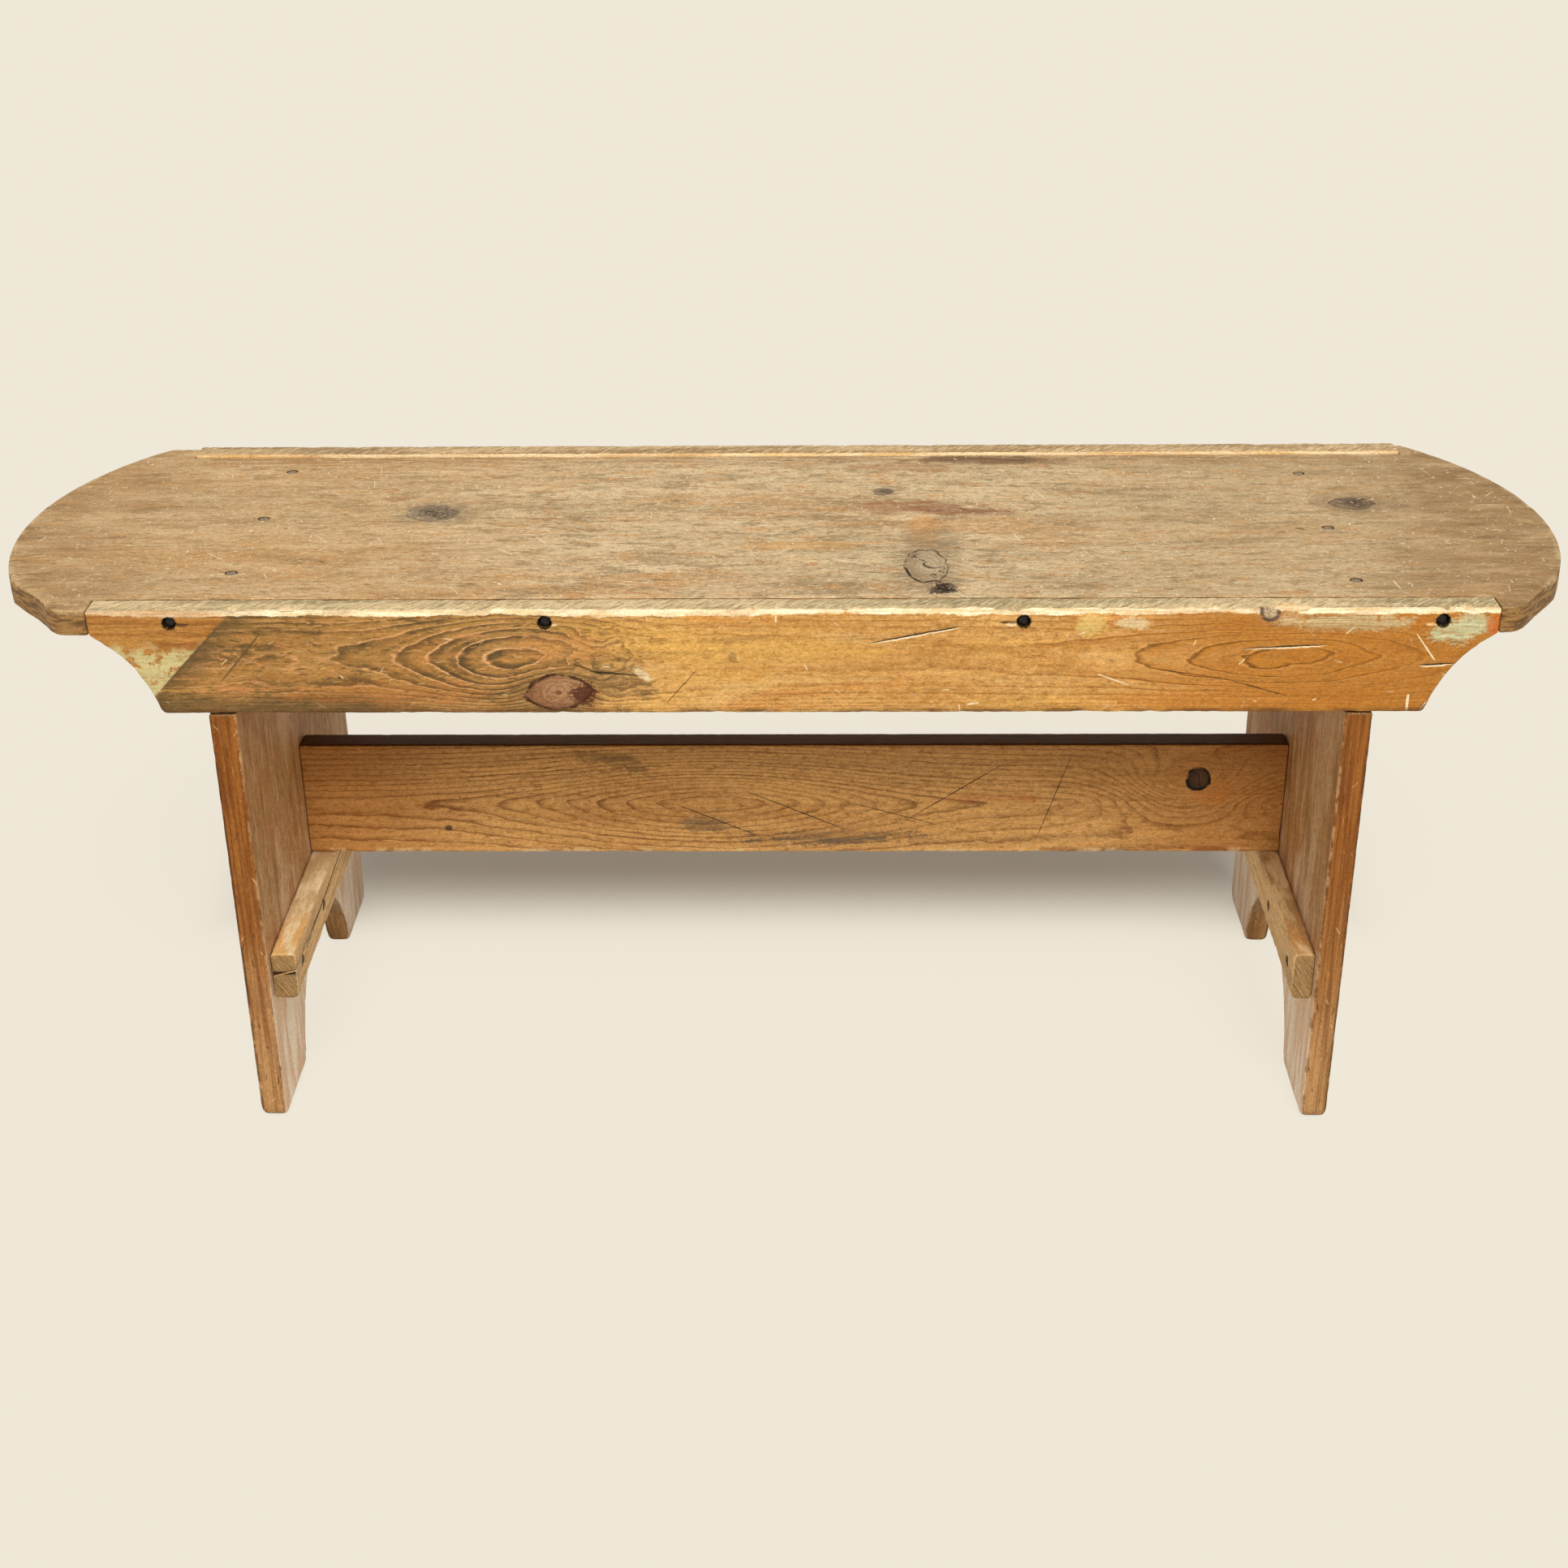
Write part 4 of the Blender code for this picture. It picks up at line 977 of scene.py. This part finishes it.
stretcher = {
    "node": "stretcher", "name": "stretcherBoard", "grain": "xzy", "face": -1, "seed": 17.0,
    "heart": -0.002, "soft": 0.004, "rate": 140, "tilt": 60, "pitch": 90, "run": 0,
    "drift": 1.0, "wave": 1.1, "lateFrom": 0.5,
    "eyes": [(-0.068, -0.002, 0.14, 0.045, -7.2), (0.330, 0.012, 0.052, 0.030, 10.0)],
    "early": (216, 162, 94), "late": (116, 68, 26), "bright": (226, 178, 110),
    "contrast": 0.85, "streaks": 0.25, "fibres": 0.6, "fuzz": 0.00012,
    "specks": ((116, 74, 34), (218, 176, 116), 0.55),
    "patina": [((160, 102, 46), 0.55, 3.5, 18, 0.48, 0.72), ((172, 130, 84), 0.45, 5, 26, 0.5, 0.72),
               ((146, 98, 48), 0.4, 10, 160, 0.52, 0.70)],
    "spots": [((82, 74, 62), 0.8, (0.03, -0.037), (0.10, 0.009), 0.0, 1.6, 1.2, 0.9),
              ((80, 60, 38), 0.65, (-0.152, 0.037), (0.034, 0.009), 0.2, 1.6, 1.0, 0.7),
              ((80, 74, 62), 0.6, (-0.075, -0.024), (0.022, 0.010), 0.0, 1.6, 1.2, 0.7),
              ((182, 88, 40), 0.5, (0.165, 0.000), (0.050, 0.005), 0.0, 1.4, 0.8, 0.7),
              ((64, 52, 38), 0.85, (-0.2927, -0.0273), (0.0042, 0.0036), 0.0, 0.5, 0.4, 0.0),
              ((196, 118, 48), 0.6, (0.352, 0.006), (0.020, 0.014), 0.0, 1.2, 0.6, 0.5)],
    "knots": [((0.340, 0.0186), (0.0102, 0.0108), 0.0, 0.0, 1.0, blackKnot, 0.4, 1.0)],
    "scatter": [((92, 58, 26), 0.5, (60, 200), 0.016, 0.0007, 0.5, 0.0, 0.2),
                ((90, 56, 24), 0.5, (5, 60), 0.10, 0.0005, 0.45, 0.0, 0.04),
                ((230, 194, 140), 0.6, (24, 50), 0.007, 0.0009, 0.25, 0.0, 6.3),
                ((64, 42, 22), 0.6, (26, 55), 0.007, 0.0010, 0.22, 0.0, 1.2)],
    "lines": [(scratch, 0.9, (0.1754, 0.0323), (0.0996, -0.0175), 0.0006, None),
              (scratch, 0.85, (-0.0386, 0.0073), (0.0448, -0.0291), 0.0007, None),
              (scratch, 0.85, (-0.0985, -0.0048), (-0.0276, -0.0360), 0.0007, None),
              (scratch, 0.75, (0.0461, -0.0027), (0.1224, -0.0245), 0.0006, None),
              (scratch, 0.8, (0.2331, 0.0413), (0.2054, -0.0410), 0.0006, None)],
    "slice": 0.005, "chip": lambda a, b, c: 0.003 if b < 0 else 0.0008, "crumble": 0.0003,
}


def finishStretcher():
    wood = Pine(stretcher)
    # painted shade: the upper part of the stretcher is painted darker where the front apron shades it
    wood.stain(wood.span(wood.across, 0.025, 0.050) * 0.25, (128, 80, 36))
    reach = abs(wood.along + (wood.lumps(6, 20, 3, 60) - 0.5) * 0.15)
    wood.stain(wood.span(reach, 0.22, 0.38) * 0.45, (168, 102, 38))
    wood.stain(wood.line * wood.front * wood.span(wood.along, -0.02, -0.16) * 0.35, (112, 56, 22))
    wood.wear()
    # the top face is painted very dark brown: partly an old dark stain, partly painted shade under the seat
    top = wood.span(wood.edgeFace, 0.5, 0.85)
    wood.stain(top * 0.96, (72, 42, 5))
    low = wood.span(wood.edge, 0.5, 0.9) * wood.span(wood.across, -0.040, -0.047)
    wood.stain(low * wood.span(wood.lumps(50, 50, 4, 95), 0.52, 0.60) * 0.6, (222, 190, 138))
    return wood.finish(wood.flow * 0.2 + 0.44)


putOn(shapeBoard(stretcher), stretcher["node"], finishStretcher())
print("stretcher made")


# Cleats

leftCleat = {
    "node": "left_cleat", "name": "leftCleat", "grain": "yzx", "face": 1, "seed": 19.0,
    "heart": 0.0, "soft": 0.006, "rate": 170, "tilt": 30, "pitch": 150, "run": 4,
    "drift": 2.0, "wave": 0.6, "lateFrom": 0.35, "eyes": [],
    "early": (240, 200, 142), "late": (182, 136, 84), "bright": (248, 218, 170),
    "contrast": 0.5, "streaks": 0.6, "fibres": 0.45, "fuzz": 0.00014,
    "specks": ((110, 80, 46), (222, 194, 148), 0.5),
    "patina": [((140, 106, 64), 0.6, 8, 30, 0.46, 0.70), ((190, 166, 126), 0.5, 9, 40, 0.5, 0.70)],
    "scatter": [((86, 60, 34), 0.6, (50, 150), 0.014, 0.0008, 0.5, 0.0, 0.3),
                ((230, 204, 158), 0.6, (60, 90), 0.012, 0.0007, 0.4, 0.0, 3.0)],
    "lines": [((44, 30, 18), 0.9, (-0.135, 0.0034), (0.03, 0.0098), 0.0016, None)],
    "slice": 0.004, "chip": lambda a, b, c: 0.003, "crumble": 0.0006,
    "topPale": (234, 212, 168), "topDull": (200, 168, 120), "worn": (224, 166, 86),
}
rightCleat = {**leftCleat, "node": "right_cleat", "name": "rightCleat", "face": -1, "seed": 23.0, "lines": [],
              "topPale": (204, 172, 124), "topDull": (152, 112, 66), "worn": (190, 132, 70)}


def finishCleat(board):
    wood = Pine(board)
    wood.wear()
    top = wood.span(wood.edgeFace, 0.35, 0.80)
    rub = wood.lumps(22, 70, 4, 80, 0.65)
    wood.stain(top * 0.85, wood.blend(wood.span(rub, 0.40, 0.58), board["topDull"], board["topPale"]))
    frontEnd = top * wood.span(wood.along + (rub - 0.5) * 0.08, -0.10, -0.15)
    wood.stain(frontEnd * wood.span(rub, 0.60, 0.45) * 0.65, board["worn"])
    end = wood.span(abs(wood.endFace), 0.5, 0.85)
    sawn = wood.noise(wood.join(0.0, wood.across * 0.7 + wood.through, wood.across), (1, 900, 60), 3, 0.6, 2.0)
    wood.stain(end * 0.9, wood.blend(wood.span(sawn, 0.38, 0.62), (104, 74, 40), (164, 128, 80)))
    if board is leftCleat:
        wood.stain(end * wood.span(abs(wood.across - 0.0036), 0.0020, 0.0009), (44, 26, 14))
    return wood.finish(wood.flow * 0.2 + 0.52)


for board in (leftCleat, rightCleat):
    putOn(shapeBoard(board), board["node"], finishCleat(board))
print("cleats made")


# Nails

nails = {"rubbed": ((152, 138, 118), (120, 92, 64), (36, 28, 22)),  # head, rust, and a rim painted dark as painted shade
         "black": ((26, 22, 19), (38, 26, 18), (14, 11, 9)),
         "headSize": 0.00475, "lump": 0.00022, "lumps": 420, "pits": 0.0003, "metal": 0.35, "sharp": 40}


def ironFinish(kind):
    head, brown, dark = nails[kind]
    stuff = bpy.data.materials.new(kind + "Iron")
    stuff.use_nodes = True
    kit = Wiring(stuff.node_tree)
    point = kit.out(kit.node("ShaderNodeTexCoord"), "Object")
    rust = kit.noise(point, (700, 700, 700), 4, 0.65)
    rim = kit.out(kit.node("ShaderNodeAttribute", attribute_name="rim"), "Fac")
    tone = kit.blend(kit.span(rust, 0.42, 0.62), head, brown)
    # painted shade: the outer edge of each head is painted dark all round
    tone = kit.blend(kit.span(rim + (rust - 0.5) * 0.4, 0.78, 0.98), tone, dark)
    surface = stuff.node_tree.nodes["Principled BSDF"]
    kit.plug(surface.inputs["Base Color"], tone)
    kit.plug(surface.inputs["Roughness"], rust * 0.3 + 0.42)
    surface.inputs["Metallic"].default_value = nails["metal"]
    relief = kit.node("ShaderNodeBump", {"Height": rust * nails["pits"], "Strength": 1.0, "Distance": 1.0})
    kit.plug(surface.inputs["Normal"], kit.out(relief))
    return stuff


def hammerNail(node, stuff):
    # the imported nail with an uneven, hand-struck head
    work = joinedCopy(node)
    bmesh.ops.subdivide_edges(work, edges=work.edges, cuts=1, use_grid_fill=True)
    work.normal_update()
    low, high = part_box(node)
    middle = (low + high) / 2
    shank = max(range(3), key=lambda i: high[i] - low[i])
    layer = work.verts.layers.float.new("rim")
    for vert in work.verts:
        off = vert.co - middle
        off[shank] = 0
        vert[layer] = off.length / nails["headSize"]
        vert.co += vert.normal * noise.noise(vert.co * nails["lumps"]) * nails["lump"]
    for face in work.faces:
        face.smooth = True
    putOn(newPiece(work, node + "_forged", nails["sharp"]), node, stuff)


irons = {kind: ironFinish(kind) for kind in ("rubbed", "black")}
for node in [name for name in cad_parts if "_nail_" in name]:
    hammerNail(node, irons["rubbed" if node.startswith("seat") else "black"])
print("nails made")
